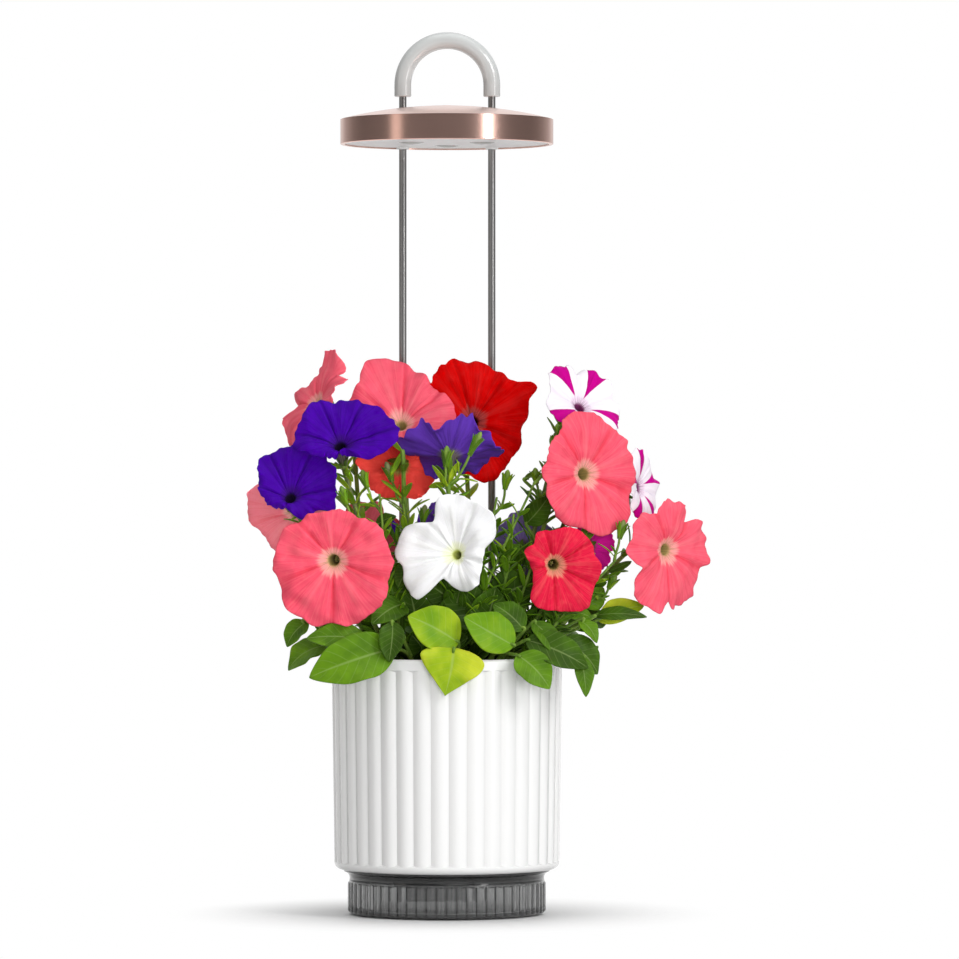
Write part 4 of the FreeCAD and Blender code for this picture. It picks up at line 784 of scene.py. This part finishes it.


# Colours of each kind: base, shade (for the veins, and painted shade along the creases), ring round the
# throat and throat, the same four for the flowers tinted the other way, then back and tube
petal_looks = {
    "coral": ((0.90, 0.098, 0.160), (0.70, 0.030, 0.060), (1.0, 0.50, 0.46), (0.58, 0.46, 0.18),
              (0.96, 0.24, 0.29), (0.86, 0.12, 0.16), (1.0, 0.60, 0.50), (0.60, 0.50, 0.20),
              (0.90, 0.16, 0.20), (0.30, 0.20, 0.12)),
    "violet": ((0.058, 0.001, 0.34), (0.016, 0.0, 0.11), (0.045, 0.004, 0.20), (0.012, 0.004, 0.03),
               (0.34, 0.25, 0.66), (0.22, 0.14, 0.48), (0.30, 0.22, 0.50), (0.05, 0.02, 0.05),
               (0.20, 0.07, 0.56), (0.20, 0.17, 0.16)),
    "red": ((0.66, 0.0, 0.0), (0.34, 0.0, 0.0), (0.42, 0.09, 0.08), (0.05, 0.004, 0.004),
            (0.80, 0.016, 0.060), (0.38, 0.0, 0.012), (0.90, 0.42, 0.28), (0.45, 0.36, 0.12),
            (1.0, 0.085, 0.065), (0.42, 0.44, 0.10)),
    "white": ((0.95, 0.95, 0.97), (0.82, 0.84, 0.82), (0.92, 0.95, 0.72), (0.82, 0.88, 0.30),
              (0.90, 0.90, 0.88), (0.80, 0.80, 0.74), (0.90, 0.92, 0.70), (0.60, 0.66, 0.14),
              (0.88, 0.88, 0.88), (0.45, 0.52, 0.25)),
    "striped": ((0.92, 0.88, 0.94), (0.80, 0.74, 0.86), (0.86, 0.66, 0.84), (0.30, 0.05, 0.20),
                (0.92, 0.88, 0.94), (0.80, 0.74, 0.86), (0.50, 0.10, 0.36), (0.30, 0.05, 0.20),
                (0.86, 0.80, 0.88), (0.22, 0.15, 0.12)),
}

# Each flower's own form: where its lobes point, how far they bend forward (share of the radius), frill
# and ruffle of the edge, and how far its tint turns to the other four colours
EVEN = (90, 162, 234, 306, 378)
FLAT = (0, 0, 0, 0, 0)
Form = namedtuple("Form", "lobes bends frill ruffle tone")
forms = {name: Form(*row) for name, row in {
    "A": ((95, 165, 238, 302, 380), (0.02, -0.02, 0, 0.03, 0), 0.020, 0.05, 0),
    "E": ((66, 110, 170, 270, 375), (0.02, 0.08, 0.05, -0.05, 0.02), 0.020, 0.13, 0.1),
    "D": ((80, 150, 215, 285, 375), (0.05, -0.15, -0.25, -0.05, 0.15), 0.050, 0.16, 0.2),
    "I": ((92, 158, 228, 298, 382), (-0.05, 0.02, 0.04, 0, -0.06), 0.025, 0.07, 0.05),
    "J": ((70, 165, 242, 290, 380), (-0.10, 0, 0.05, -0.05, -0.08), 0.035, 0.10, 0.1),
    "M": (EVEN, (-0.05, -0.08, 0, 0.04, 0), 0.030, 0.08, 1),
    "S": (EVEN, (0, 0.05, -0.05, 0, 0.04), 0.030, 0.08, 0.3),
    "B": ((90, 140, 188, 352, 400), (0.06, 0.10, -0.10, -0.10, 0.10), 0.030, 0.09, 0),
    "C": ((98, 140, 195, 335, 400), (0.12, 0.08, -0.06, -0.10, 0.05), 0.040, 0.10, 0),
    "G": ((84, 140, 228, 300, 388), (0.26, 0.22, 0.24, 0.22, 0.28), 0.040, 0.20, 0.1),
    "U": (EVEN, FLAT, 0.030, 0.08, 1),
    "T": (EVEN, FLAT, 0.030, 0.08, 0.2),
    "F": ((80, 132, 205, 284, 385), (0.05, 0, -0.05, 0, 0.05), 0.025, 0.14, 0),
    "N": ((90, 150, 222, 306, 388), (-0.1, -0.2, -0.2, -0.2, -0.2), 0.030, 0.10, 0),
    "K": ((63, 145, 238, 307, 364), (-0.02, 0, 0, 0, 0), 0.014, 0.08, 1),
    "L": ((92, 165, 215, 290, 400), (0.06, -0.02, -0.06, 0.02, 0.05), 0.012, 0.08, 0),
    "V": (EVEN, FLAT, 0.015, 0.06, 0),
    "H": ((52, 105, 212, 270, 328), (0.08, 0.12, 0.05, -0.05, 0), 0.030, 0.09, 0),
    "O": (EVEN, (0, -0.05, 0, -0.05, 0), 0.030, 0.09, 0),
    "P": (EVEN, FLAT, 0.030, 0.08, 1),
}.items()}
# Edge of a flower that is near to regular: reach of its lobes (share of the radius), depth of the
# notches between them, and straightness from tip to tip
ALIKE = (1, 1, 1, 1, 1)
edges = {
    "A": ((0.88, 1.02, 1.16, 1.16, 1.03), 0.05, 0), "D": ((1.12, 1, 1, 1.1, 1), 0.18, 0.1),
    "I": ((1.08, 0.88, 0.98, 1.12, 0.98), 0.07, 0.1), "J": ((0.92, 1.03, 1.24, 1.12, 1.02), 0.20, 0),
    "S": (ALIKE, 0.09, 0), "U": (ALIKE, 0.10, 0.02), "T": (ALIKE, 0.10, 0.02),
    "N": ((1, 1.1, 1, 1, 1.15), 0.10, 0.1), "V": (ALIKE, 0.24, 0.2), "H": ((1.05, 1.05, 1, 0.9, 1), 0.12, 0),
    "O": (ALIKE, 0.12, 0), "P": (ALIKE, 0.12, 0),
}
# Edge of a flower that is far from regular: angle and reach in millimetres
outlines = {
    "B": ((-45, 8), (-37, 16), (-10, 28), (0, 35), (16, 36), (38, 34.5), (56, 32), (75, 30), (90, 30.5),
          (108, 30), (125, 31), (145, 29), (164, 28.5), (180, 28.5), (193, 21.5), (222, 12), (245, 11),
          (270, 7.5), (300, 7)),
    "C": ((-53, 18.6), (-25, 19.5), (-13, 29), (3, 29), (19, 30.7), (39, 33), (50, 31.5), (62, 33.5),
          (82, 34.5), (95, 32.5), (105, 33.5), (118, 31.5), (130, 32.5), (144, 24), (165, 20), (186, 16),
          (229, 9.8), (270, 9)),
    "G": ((0, 31), (32, 22), (55, 20.5), (77, 21), (105, 20), (132, 21.5), (160, 27), (198, 33),
          (220, 30.5), (243, 31), (267, 29), (293, 29), (328, 26)),
    "M": ((0, 22), (60, 20), (120, 25), (148, 29.6), (157, 31.7), (175, 29), (190, 29.6), (213, 24),
          (228, 25), (246, 28.5), (258, 25), (300, 22)),
    "E": ((-150, 27), (-120, 20), (-90, 19), (-60, 20), (-16, 29), (0, 32.5), (25, 33.5), (44, 31),
          (64, 35), (79, 39.5), (90, 44.5), (103, 47.5), (117, 48), (134, 36.5), (152, 36), (180, 32)),
    "F": ((-140, 27), (-108, 31.5), (-91, 36), (-76, 40), (-55, 33), (-27, 33), (-9, 29.5), (19, 36),
          (30, 44.5), (40, 35), (49, 33.5), (67, 34.5), (80, 38), (95, 37), (109, 39), (124, 38),
          (139, 34.5), (160, 29), (180, 27)),
    "K": ((-160, 13.5), (-136, 17), (-123, 26), (-109, 27), (-90, 26.5), (-75, 29), (-51, 33.5),
          (-28, 27), (-2, 28.5), (14, 24.5), (29, 26), (53, 25.5), (72, 24), (95, 20.5), (118, 22.5),
          (135, 17.5), (152, 20.5), (175, 14)),
    "L": ((-154, 36), (-127, 36), (-120, 16), (-106, 16), (-84, 21.5), (-62, 24), (-46, 23.5), (-20, 18),
          (13, 18.5), (21, 25), (43, 33.5), (59, 34), (70, 32.5), (79, 35), (90, 36), (107, 35),
          (124, 22.5), (136, 27), (153, 36), (180, 37.5), (194, 32)),
}


def periodic(values, angle):
    """Smooth value round the circle from one value per lobe."""
    values = np.asarray(values, float)
    place = (angle / (2 * math.pi) * len(values)) % len(values)
    low = np.floor(place).astype(int) % len(values)
    share = place - np.floor(place)
    share = share * share * (3 - 2 * share)
    return values[low] * (1 - share) + values[(low + 1) % len(values)] * share


def lobe_angle(angle, centres):
    """Angle round the face, stretched so that lobe k of five is centred on k fifths of a turn."""
    centres = [math.radians(centre) for centre in centres]
    known = [centres[-1] - 2 * math.pi] + centres + [centres[0] + 2 * math.pi]
    fifths = [2 * math.pi * k / LOBES for k in range(-1, LOBES + 1)]
    return np.interp((angle - known[0]) % (2 * math.pi) + known[0], known, fifths)


def limb_edge(name, angle, lobe):
    """How far the flower's edge reaches at each angle, before its finest waves."""
    if name in outlines:
        degrees, lengths = zip(*outlines[name])
        reach = np.interp(np.degrees(angle), degrees, lengths, period=360)
        spread = ((2, 1), (1, 2), (0, 3), (-1, 2), (-2, 1))
        return sum(weight * np.roll(reach, shift) for shift, weight in spread) / 9
    lengths, notch, straight = edges[name]
    between = 0.5 - 0.5 * np.cos(LOBES * lobe)
    from_tip = np.abs((lobe + math.pi / LOBES) % (2 * math.pi / LOBES) - math.pi / LOBES)
    polygon = math.cos(math.pi / LOBES) / np.cos(math.pi / LOBES - from_tip)
    reach = flowers[name].radius * periodic(lengths, lobe)
    split = 1 - 0.6 * forms[name].frill * np.cos(2 * LOBES * lobe)
    return reach * ((1 - notch * between ** 5) * (1 - straight + straight * polygon) * split)


def waves(angle, low, high, fall, chance):
    """Sum of waves round the circle, low to high cycles, smaller as they get shorter."""
    total = np.zeros_like(angle)
    for cycles in range(low, high + 1):
        phase = chance.uniform(0, 2 * math.pi)
        total += np.sin(cycles * angle + phase) * chance.uniform(0.5, 1.0) / cycles ** fall
    return total / total.std()


def rumple(x, y, chance, shortest, longest, count=9):
    """Gentle uneven swells over a flower's face, from shortest to longest in millimetres."""
    total = np.zeros_like(x)
    for _ in range(count):
        heading = chance.uniform(0, 2 * math.pi)
        turns = 2 * math.pi / chance.uniform(shortest, longest)
        phase = chance.uniform(0, 2 * math.pi)
        total += np.sin(turns * (math.cos(heading) * x + math.sin(heading) * y) + phase)
    return total / math.sqrt(count / 2)


def corolla(shell, name, columns=160, limb_rows=34, tube_rows=12):
    """Tube, throat and ruffled limb of a petunia as one thin closed sheet; its anthers and stigma."""
    flower = flowers[name]
    form = forms[name]
    radius = flower.radius
    centre, axis, right, up, depth = flower_frame(flower)
    chance = random.Random("petals " + name)
    angle = np.linspace(0, 2 * math.pi, columns, endpoint=False)
    lobe = lobe_angle(angle, form.lobes)
    between = 0.5 - 0.5 * np.cos(LOBES * lobe)
    reach = limb_edge(name, angle, lobe) * (1 + form.frill * 0.5 * waves(angle, 7, 44, 0.6, chance))
    bend = periodic(form.bends, lobe)
    coarse = waves(angle, 3, 9, 0.8, chance)
    fine = waves(angle, 11, 24, 0.8, chance) * 0.4
    fold = np.exp(-((1 - between) / 0.05) ** 2)
    ridge = np.exp(-(between / 0.03) ** 2)
    tube_radius, tube_share, thickness = 1.7, 0.76, 0.45
    throat_radius = 2.2 + radius * (0.02 if flower.kind == "white" else 0.04)
    rows = []
    for row in range(tube_rows):
        s = row / tube_rows
        r = tube_radius + (throat_radius - tube_radius) * s ** 1.1
        out = r * (1 + 0.05 * np.cos(LOBES * lobe) * s)
        rise = np.full(columns, -depth + depth * tube_share * s)
        rows.append((out, rise, TUBE_START + (THROAT - TUBE_START) * s))
    for row in range(limb_rows):
        q = row / (limb_rows - 1)
        rise = -0.24 * depth * (1 - q) ** 4.0
        rise = rise + radius * bend * q ** 2.2
        rise = rise - radius * 0.045 * fold * math.sin(math.pi * min(1.0, q * 1.05)) ** 0.8
        rise = rise + radius * 0.012 * ridge * math.sin(math.pi * q)
        rise = rise + radius * form.ruffle * 0.6 * (coarse * q ** 3 + fine * q ** 6)
        rise = rise - radius * 0.05 * q ** 7
        out = throat_radius + (reach - throat_radius) * q ** 0.92
        rows.append((out, rise, THROAT + (1 - THROAT) * q))
    out, rise, place = [np.array(parts) for parts in zip(*rows)]
    place = np.repeat(place[:, None], columns, 1)
    x = out * np.cos(angle)
    y = out * np.sin(angle)
    limb = np.clip((place - THROAT) / (1 - THROAT), 0, 1)
    rise = rise + rumple(x, y, chance, 9.0, 24.0) * 0.018 * radius * limb ** 0.8
    slide = rumple(x, y, chance, 14.0, 30.0) * 0.012 * radius * limb
    x = x * (1 + slide / radius)
    grid = centre + axis * rise[..., None] + x[..., None] * right + y[..., None] * up
    mark = np.stack([place * np.cos(lobe), place * np.sin(lobe), np.full(place.shape, form.tone)], -1)
    shell.sheet(grid[:, ::-1], thickness, mark[:, ::-1], 0, 1, wrap=True)
    for index in range(5):
        side = spoke(math.radians(index * 72 + 50), right, up)
        foot = centre - axis * depth * 0.92 + side * 0.8
        top = centre - axis * depth * (0.60 + 0.05 * (index % 3)) + side * throat_radius * 0.3
        shell.tube(smooth_path([foot, (foot + top) / 2 + side * 0.4, top]), 0.22, 0.0, 2, 6)
        shell.tube([top - side * 0.45, top, top + side * 0.45], [0.28, 0.42, 0.28], 0.0, 2, 8)
    style = [centre - axis * depth * share for share in (0.9, 0.72, 0.56)]
    shell.tube(style, 0.25, 0.0, 3, 6)
    shell.tube([style[-1] - axis * 0.4, style[-1], style[-1] + axis * 0.4], [0.4, 0.65, 0.4], 0.0, 3, 10)


def plain_growth(name, first, second, roughness=0.5):
    """Small plant parts: anthers, stigmas."""
    graph = new_material(name)
    shade = graph.fade(graph.noise(900.0), 0.35, 0.65, first, second)
    return graph.skin(shade, roughness, graph.bump(graph.noise(1800.0), 0.4, 0.0001))


anther = plain_growth("anther", (0.45, 0.34, 0.12), (0.58, 0.46, 0.20), 0.8)
stigma = plain_growth("stigma", (0.30, 0.32, 0.08), (0.42, 0.42, 0.12))
for kind, looks in petal_looks.items():
    front, back = [petal_material(kind, side, looks) for side in ("front", "back")]
    shell = Shell()
    for name, flower in flowers.items():
        if flower.kind == kind:
            corolla(shell, name)
    skins = [front, back, anther, stigma]
    shell.build(kind + "_petals", skins, "petal", "vase", ["petunia_" + kind])


# Stems, sepals, buds and leaves. Their mark holds place along, place across and tone.


def leaf_material():
    """Leaf blade from dark green (tone 0) to yellow (1), with its midrib and side veins."""
    graph = new_material("leaf_blade")
    along, across, tone = graph.split(graph.read("Vector", "Attribute", attribute_name="leaf"))
    span = graph.math("ABSOLUTE", across)
    shifted = tone + graph.remap(graph.noise(90.0, 3.0), 0.3, 0.7, -0.08, 0.08)
    shifted = shifted + graph.remap(graph.noise(38.0, 2.0), 0.35, 0.65, -0.3, 0.12) * tone
    shifted = graph.math("ADD", shifted, graph.remap(span, 0.5, 1.0, 0.0, 0.05), clamp=True)
    stops = [(0.0, (0.026, 0.060, 0.005)), (0.15, (0.042, 0.098, 0.006)), (0.3, (0.078, 0.180, 0.008)),
             (0.5, (0.145, 0.31, 0.010)), (0.75, (0.31, 0.46, 0.014)), (1.0, (0.55, 0.62, 0.035))]
    colour = graph.ramp(shifted, stops)
    side_veins = graph.math("SINE", (along - span * 0.22) * (2 * math.pi * 8))
    midrib = graph.remap(span, 0.07, 0.02)
    vein = graph.math("MAXIMUM", graph.remap(side_veins, 0.90, 1.0) * 0.25, midrib * 0.6)
    colour = graph.mix(vein, colour, graph.mix(0.45, colour, (0.42, 0.55, 0.20)))
    height = graph.noise(600.0, 2.0) - vein * 1.5
    return graph.skin(colour, 0.42, graph.bump(height, 0.3, 0.0004), {"Specular IOR Level": 0.12})


def stem_material():
    """Stem or bud: tone 0 is green, 1 is mauve and 2 is violet."""
    graph = new_material("stem")
    tone = graph.split(graph.read("Vector", "Attribute", attribute_name="leaf"))[2]
    streak = graph.noise(260.0, 3.0, graph.place((1, 1, 0.15)))
    green = graph.fade(streak, 0.35, 0.65, (0.10, 0.20, 0.025), (0.24, 0.38, 0.06))
    mauve = graph.fade(streak, 0.35, 0.65, (0.09, 0.05, 0.07), (0.22, 0.13, 0.14))
    colour = graph.fade(tone, 1.0, 2.0, graph.mix(tone, green, mauve), (0.07, 0.006, 0.34))
    return graph.skin(colour, 0.5, graph.bump(streak, 0.3, 0.0003), {"Specular IOR Level": 0.2})


def blade(shell, base, tip, normal, width, tone, arch, rows, seed,
          fold=0.2, wave=0.0, widest=0.5, half=2, thickness=0.5, point=0.62):
    """A leaf blade from base to tip: ovate outline, folded at its midrib, arched along its length."""
    base = np.asarray(base, float)
    tip = np.asarray(tip, float)
    length = np.linalg.norm(tip - base)
    along = (tip - base) / length
    normal = unit(normal - along * normal.dot(along))
    across = np.cross(along, normal)
    chance = random.Random("blade " + seed)
    s = np.linspace(0, 1, rows)[:, None]
    v = np.linspace(-1, 1, 2 * half + 1)
    power = math.log(0.5) / math.log(widest)
    outline = np.maximum(np.sin(math.pi * s ** power) ** point, 0.35 / width)
    phase = chance.uniform(0, 2 * math.pi)
    ripple = np.sin(s * 11 + phase) * np.sign(v) * np.abs(v) ** 2.5
    ripple = ripple + 0.5 * np.sin(s * 19 + phase * 2) * np.abs(v) ** 3
    lift = arch * length * (4 * s * (1 - s)) + fold * width / 2 * outline * np.abs(v) ** 1.4
    lift = lift + wave * width * ripple * outline
    sway = chance.uniform(-0.05, 0.05) * length * np.sin(math.pi * s)
    grid = base + along * (s * length)[..., None]
    grid = grid + across * (v * outline * width / 2 + sway)[..., None] + normal * lift[..., None]
    shell.sheet(grid, thickness, np.stack(np.broadcast_arrays(s, v, float(tone)), -1))


def calyx(shell, name):
    """Cup and five narrow sepals round the foot of a flower's tube."""
    centre, axis, right, up, depth = flower_frame(flowers[name])
    foot = centre - axis * depth
    chance = random.Random("calyx " + name)
    cup = [foot + axis * place for place in (-3.2, -1.6, 0.5, 2.2)]
    shell.tube(cup, [1.3, 2.2, 2.6, 2.4], 0.15, 1, 12)
    for index in range(5):
        side = spoke(math.radians(index * 72 + 20 + chance.uniform(-12, 12)), right, up)
        reach = 12.0 * chance.uniform(0.85, 1.15)
        start = foot + side * 1.9 + axis * 0.5
        end = foot + side * (4.6 + chance.uniform(0, 3.5)) + axis * reach
        blade(shell, start, end, -side, 3.0, chance.uniform(0.2, 0.4), 0.06, 9, name + str(index))


def stem_points(name):
    """Path of a flower's stem, from its root into the calyx."""
    flower = flowers[name]
    centre, axis, _, _, depth = flower_frame(flower)
    foot = centre - axis * depth
    knee = foot - axis * 9.0
    root = np.array([*flower.root, ROOT_TOP])
    chance = random.Random("stem " + name)
    span = knee - root
    sway = np.array([*jitter(chance, 1.6), 0])
    low, high = root + span * 0.35 + sway, root + span * 0.72 - sway * 0.6
    return smooth_path([root, low, high, knee, foot - axis * 1.5])


frames = [flower_frame(flower) for flower in flowers.values()]
face_places = np.array([frame_parts[0] for frame_parts in frames])
face_axes = np.array([frame_parts[1] for frame_parts in frames])
face_reach = np.array([flower.radius * 1.25 for flower in flowers.values()])


def blocked(start, end):
    """Whether a leaflet would meet a rod or the pot's rim, or come through a flower's face."""
    face_clear = 6
    for share in np.linspace(0, 1, 8):
        x, y, z = start + (end - start) * share
        if math.hypot(abs(x) - ROD_X, y - ROD_Y) < ROD_CLEAR:
            return True
        if math.hypot(x, y) > RIM_INSIDE and z < POT_TOP + RIM_CLEAR:
            return True
    before = ((start - face_places) * face_axes).sum(1)
    after = ((end - face_places) * face_axes).sum(1)
    away = np.linalg.norm(end - face_places - after[:, None] * face_axes, axis=1)
    return bool(np.any((before < 0) & (after > -face_clear) & (away < face_reach)))


def leaflets(shell, path, share, size, chance, count=2):
    """Small narrow leaves that leave a stem at one place, lighter higher up."""
    index = int(share * (len(path) - 2))
    here = path[index]
    along = unit(path[index + 1] - path[index])
    start_turn = chance.uniform(0, 2 * math.pi)
    side = unit(np.cross(along, (0.3, 0.2, 0.93)))
    other = np.cross(along, side)
    for number in range(count):
        out = spoke(start_turn + number * 2 * math.pi / count + chance.uniform(-0.4, 0.4), side, other)
        heading = unit(out + along * chance.uniform(0.5, 1.1))
        length = size * chance.uniform(0.7, 1.3)
        normal = unit(np.cross(heading, np.cross(along, out)) * -1)
        start = here + out * 0.6
        end = start + heading * length
        width = length * chance.uniform(0.18, 0.30)
        tone = chance.uniform(0.12, 0.5) + 0.3 * min(1.0, max(0.0, (here[2] - 175) / 70))
        if not blocked(start, end):
            blade(shell, start, end, normal, width, tone, -0.08, 10, str(share) + str(length),
                  fold=0.25, wave=0.02, thickness=0.45)


def bud(shell, start, heading, size, tone, chance):
    """A closed flower: a swollen tip in its sepals, on a short stalk."""
    neck = start + heading * size * 0.55
    shell.stalk([start, start + heading * size * 0.3 + (0.4, 0.2, 0.3), neck], 0.75, 0.75)
    tip = neck + heading * size * 0.75
    places = [neck + (tip - neck) * share for share in (0.0, 0.2, 0.45, 0.7, 0.9, 1.0)]
    shell.tube(places, [1.0, 1.6, 1.9, 2.1, 1.5, 0.6], tone, 1, 12)
    side = unit(np.cross(heading, (0.3, 0.9, 0.2)))
    other = np.cross(heading, side)
    for index in range(5):
        out = spoke(index * 2 * math.pi / 5, side, other)
        end = neck + out * (3.2 + chance.uniform(0, 1.6)) + heading * size * 0.62
        blade(shell, neck + out * 1.1, end, -out, 2.4, chance.uniform(0.25, 0.6), 0.05, 8,
              "bud" + str(index), thickness=0.4)


# Stems of the flowers and shoots, with small leaves at ten places of each
WHORLS = 10
foliage = Shell()
stems = Shell()
chance = random.Random("foliage")
paths = []
for name in flowers:
    path = stem_points(name)
    paths.append(path)
    stems.tube(path, np.linspace(1.6, 1.2, len(path)), mauve_stems.get(name, 0.0) * 0.5, 0, 10)
    calyx(foliage, name)
    for step in range(WHORLS):
        share = 0.26 + 0.07 * step
        count = 3 if step % 2 else 2
        leaflets(foliage, path, share + chance.uniform(-0.03, 0.03), 25 - 14 * share, chance, count)
for root, bend, tip, size in shoots:
    root = np.array([*root, SHOOT_ROOT])
    path = smooth_path([root, (root * 0.5 + np.array(bend) * 0.5) + (1, -1, 0), bend, tip], 10)
    paths.append(path)
    stems.tube(path, np.linspace(1.3, 0.7, len(path)), 0.0, 0, 8)
    for step in range(WHORLS):
        share = 0.22 + 0.078 * step
        length = size * (1.2 - 0.5 * share)
        leaflets(foliage, path, share + chance.uniform(-0.03, 0.03), length, chance, 3)
stem_places = np.concatenate(paths)


def carrier(place, reach):
    """Where a leaf or bud leaves its stem: the nearest stem point a little lower, or the medium."""
    farthest, lowest, root_reach = 45, POT_TOP + 28, 44.0
    gap = np.linalg.norm(stem_places - place + (0, 0, reach * 0.7), axis=1)
    gap[stem_places[:, 2] > place[2] - 2] = 1e9
    best = int(np.argmin(gap))
    if place[2] >= lowest and gap[best] <= farthest:
        return stem_places[best]
    flat = np.array([place[0], place[1] + 6, 0.0])
    away = max(np.linalg.norm(flat), 1.0)
    foot = flat / away * min(away * 0.55, root_reach)
    return foot * min(1.0, LEAF_BACK / max(foot[1], 1.0)) + (0, 0, ROOT_TOP)


# Broad leaves: in front they lean to the viewer, and all but the first and the yellow one are narrower
# than in the table; a stalk that comes from the medium climbs over the rim
NARROWER = 0.86
RIM_REACH, CLIMB_AT, CLIMB_TO, CLIMB_TO_BEHIND, BEHIND = 62, 48, 157, 163, 30
for index, leaf in enumerate(leaves):
    base = np.array(leaf.base, float)
    tip = np.array(leaf.tip, float)
    middle = (base + tip) / 2
    in_front = middle[1] < 0
    if in_front:
        outward, lean = unit([middle[0] * 0.4, middle[1] - 20, 0]), 0.4
    else:
        outward, lean = unit([middle[0], middle[1] - 8, 0]), 0.75
    along = unit(tip - base)
    across = np.cross(along, outward + np.array([0, 0, lean]))
    hanging = leaf.tone > 0.9
    widest, point = (0.26, 1.05) if hanging else (0.42, 0.74)
    width = leaf.width * (NARROWER if in_front and index > 0 and not hanging else 1.0)
    normal = unit(np.cross(across, along))
    blade(foliage, base, tip, normal, width, leaf.tone, leaf.arch, 34, "leaf" + str(index),
          fold=leaf.fold, wave=0.045, widest=widest, half=9, thickness=0.6, point=point)
    root = carrier(base, 14.0)
    over = (root + base) / 2 + outward * 1.5
    near, far = math.hypot(root[0], root[1]), math.hypot(base[0], base[1])
    if root[2] < MEDIUM_TOP and far > RIM_REACH:
        over = root + (base - root) * (CLIMB_AT - near) / (far - near)
        over[2] = max(over[2] + RIM_CLEAR, CLIMB_TO_BEHIND if base[1] > BEHIND else CLIMB_TO)
    foliage.stalk([root, over, base, base + along * 3.0], 1.3, 0.8)
# Low leaves in the pot's mouth, whose dark tones are partly painted shade for the shaded mouth
LOW_LEAVES, GOLDEN_ANGLE = 34, 137.5
for index in range(LOW_LEAVES):
    turn = math.radians(index * GOLDEN_ANGLE)
    out = np.array([math.sin(turn), -math.cos(turn), 0])
    side = np.array([math.cos(turn), math.sin(turn), 0])
    near = chance.uniform(17, 30)
    far = chance.uniform(40, 57)
    if out[1] > 0:
        far = min(far, LEAF_BACK / out[1])
    if far < near + 10:
        continue
    base = out * near + (0, 0, MEDIUM_TOP + chance.uniform(2, 8))
    tip = out * far + side * chance.uniform(-8, 8) + (0, 0, MEDIUM_TOP + chance.uniform(10, 24))
    along = unit(tip - base)
    normal = unit(np.cross(np.cross(along, (out[0], out[1] - 0.4, 1.0)), along))
    # Tones 0 to 0.2: partly the leaves' own dark green, partly painted shade for the shaded inside of the
    # mouth.
    blade(foliage, base, tip, normal, chance.uniform(16, 23), chance.uniform(0.0, 0.2), 0.12, 20,
          "inner" + str(index), wave=0.04, widest=0.45, half=5)
    foot = out * (near - 3) + (0, 0, ROOT_TOP)
    foliage.stalk([foot, (foot + base) / 2 + out * 0.4, base, base + along * 3.0], 0.9, 0.9, 5)
for tip_place, length, tone in buds:
    tip = np.array(tip_place, float)
    root = carrier(tip - (0, 0, length), 16.0)
    heading = unit(unit(tip - root) + (*jitter(chance, 0.2), 0.5))
    start = tip - heading * length * 1.3
    bend = (root + start) / 2 + (*jitter(chance, 1), 0)
    path = foliage.stalk([root, bend, start], 1.1, 0.8)
    leaflets(foliage, path, 0.55, 10, chance)
    leaflets(foliage, path, 0.9, 8, chance)
    bud(foliage, start, unit(heading), length, tone, chance)

leaf_blade = leaf_material()
stem_skin = stem_material()
skins = [leaf_blade, stem_skin]
foliage.build("leaves_and_buds", skins, "leaf", "vase", ["petunia_foliage"])
stems.build("stems", [stem_skin], "leaf", "vase", ["petunia_foliage"])

# Clay pebbles, more than half sunk in the top of the growing medium, close together, and clear of the
# drip cap, the basket's wall and the dry box
TRIES = 6000
pebbles = Shell()
chance = random.Random("pebbles")
placed = []
for _ in range(TRIES):
    size = chance.uniform(3.2, 5.6)
    x = chance.uniform(-56, 56)
    y = chance.uniform(-56, 36)
    away = math.hypot(x, y)
    if away + size > BASKET_INSIDE or away - size < DRIP_CAP_CLEAR or y + size > DRY_BOX_FRONT:
        continue
    if any(math.hypot(x - other[0], y - other[1]) < (size + other[2]) * 0.86 for other in placed):
        continue
    placed.append((x, y, size))
    centre = np.array([x, y, MEDIUM_TOP - size * chance.uniform(0.1, 0.5)])
    lean = unit([*jitter(chance, 1), chance.uniform(-0.4, 0.4)])
    half = size * chance.uniform(0.85, 1.2)
    path = [centre + lean * half * share for share in (-0.92, -0.74, -0.4, 0.0, 0.4, 0.74, 0.92)]
    girth = size * np.array([0.42, 0.70, 0.93, 1.0, 0.93, 0.70, 0.42])
    pebbles.tube(path, girth * [chance.uniform(0.92, 1.06) for _ in girth], 0.0, 0, 14)
pebbles.build("clay_pebbles", [slot_materials["clay_pebbles"]], "pebble", "vase", [])
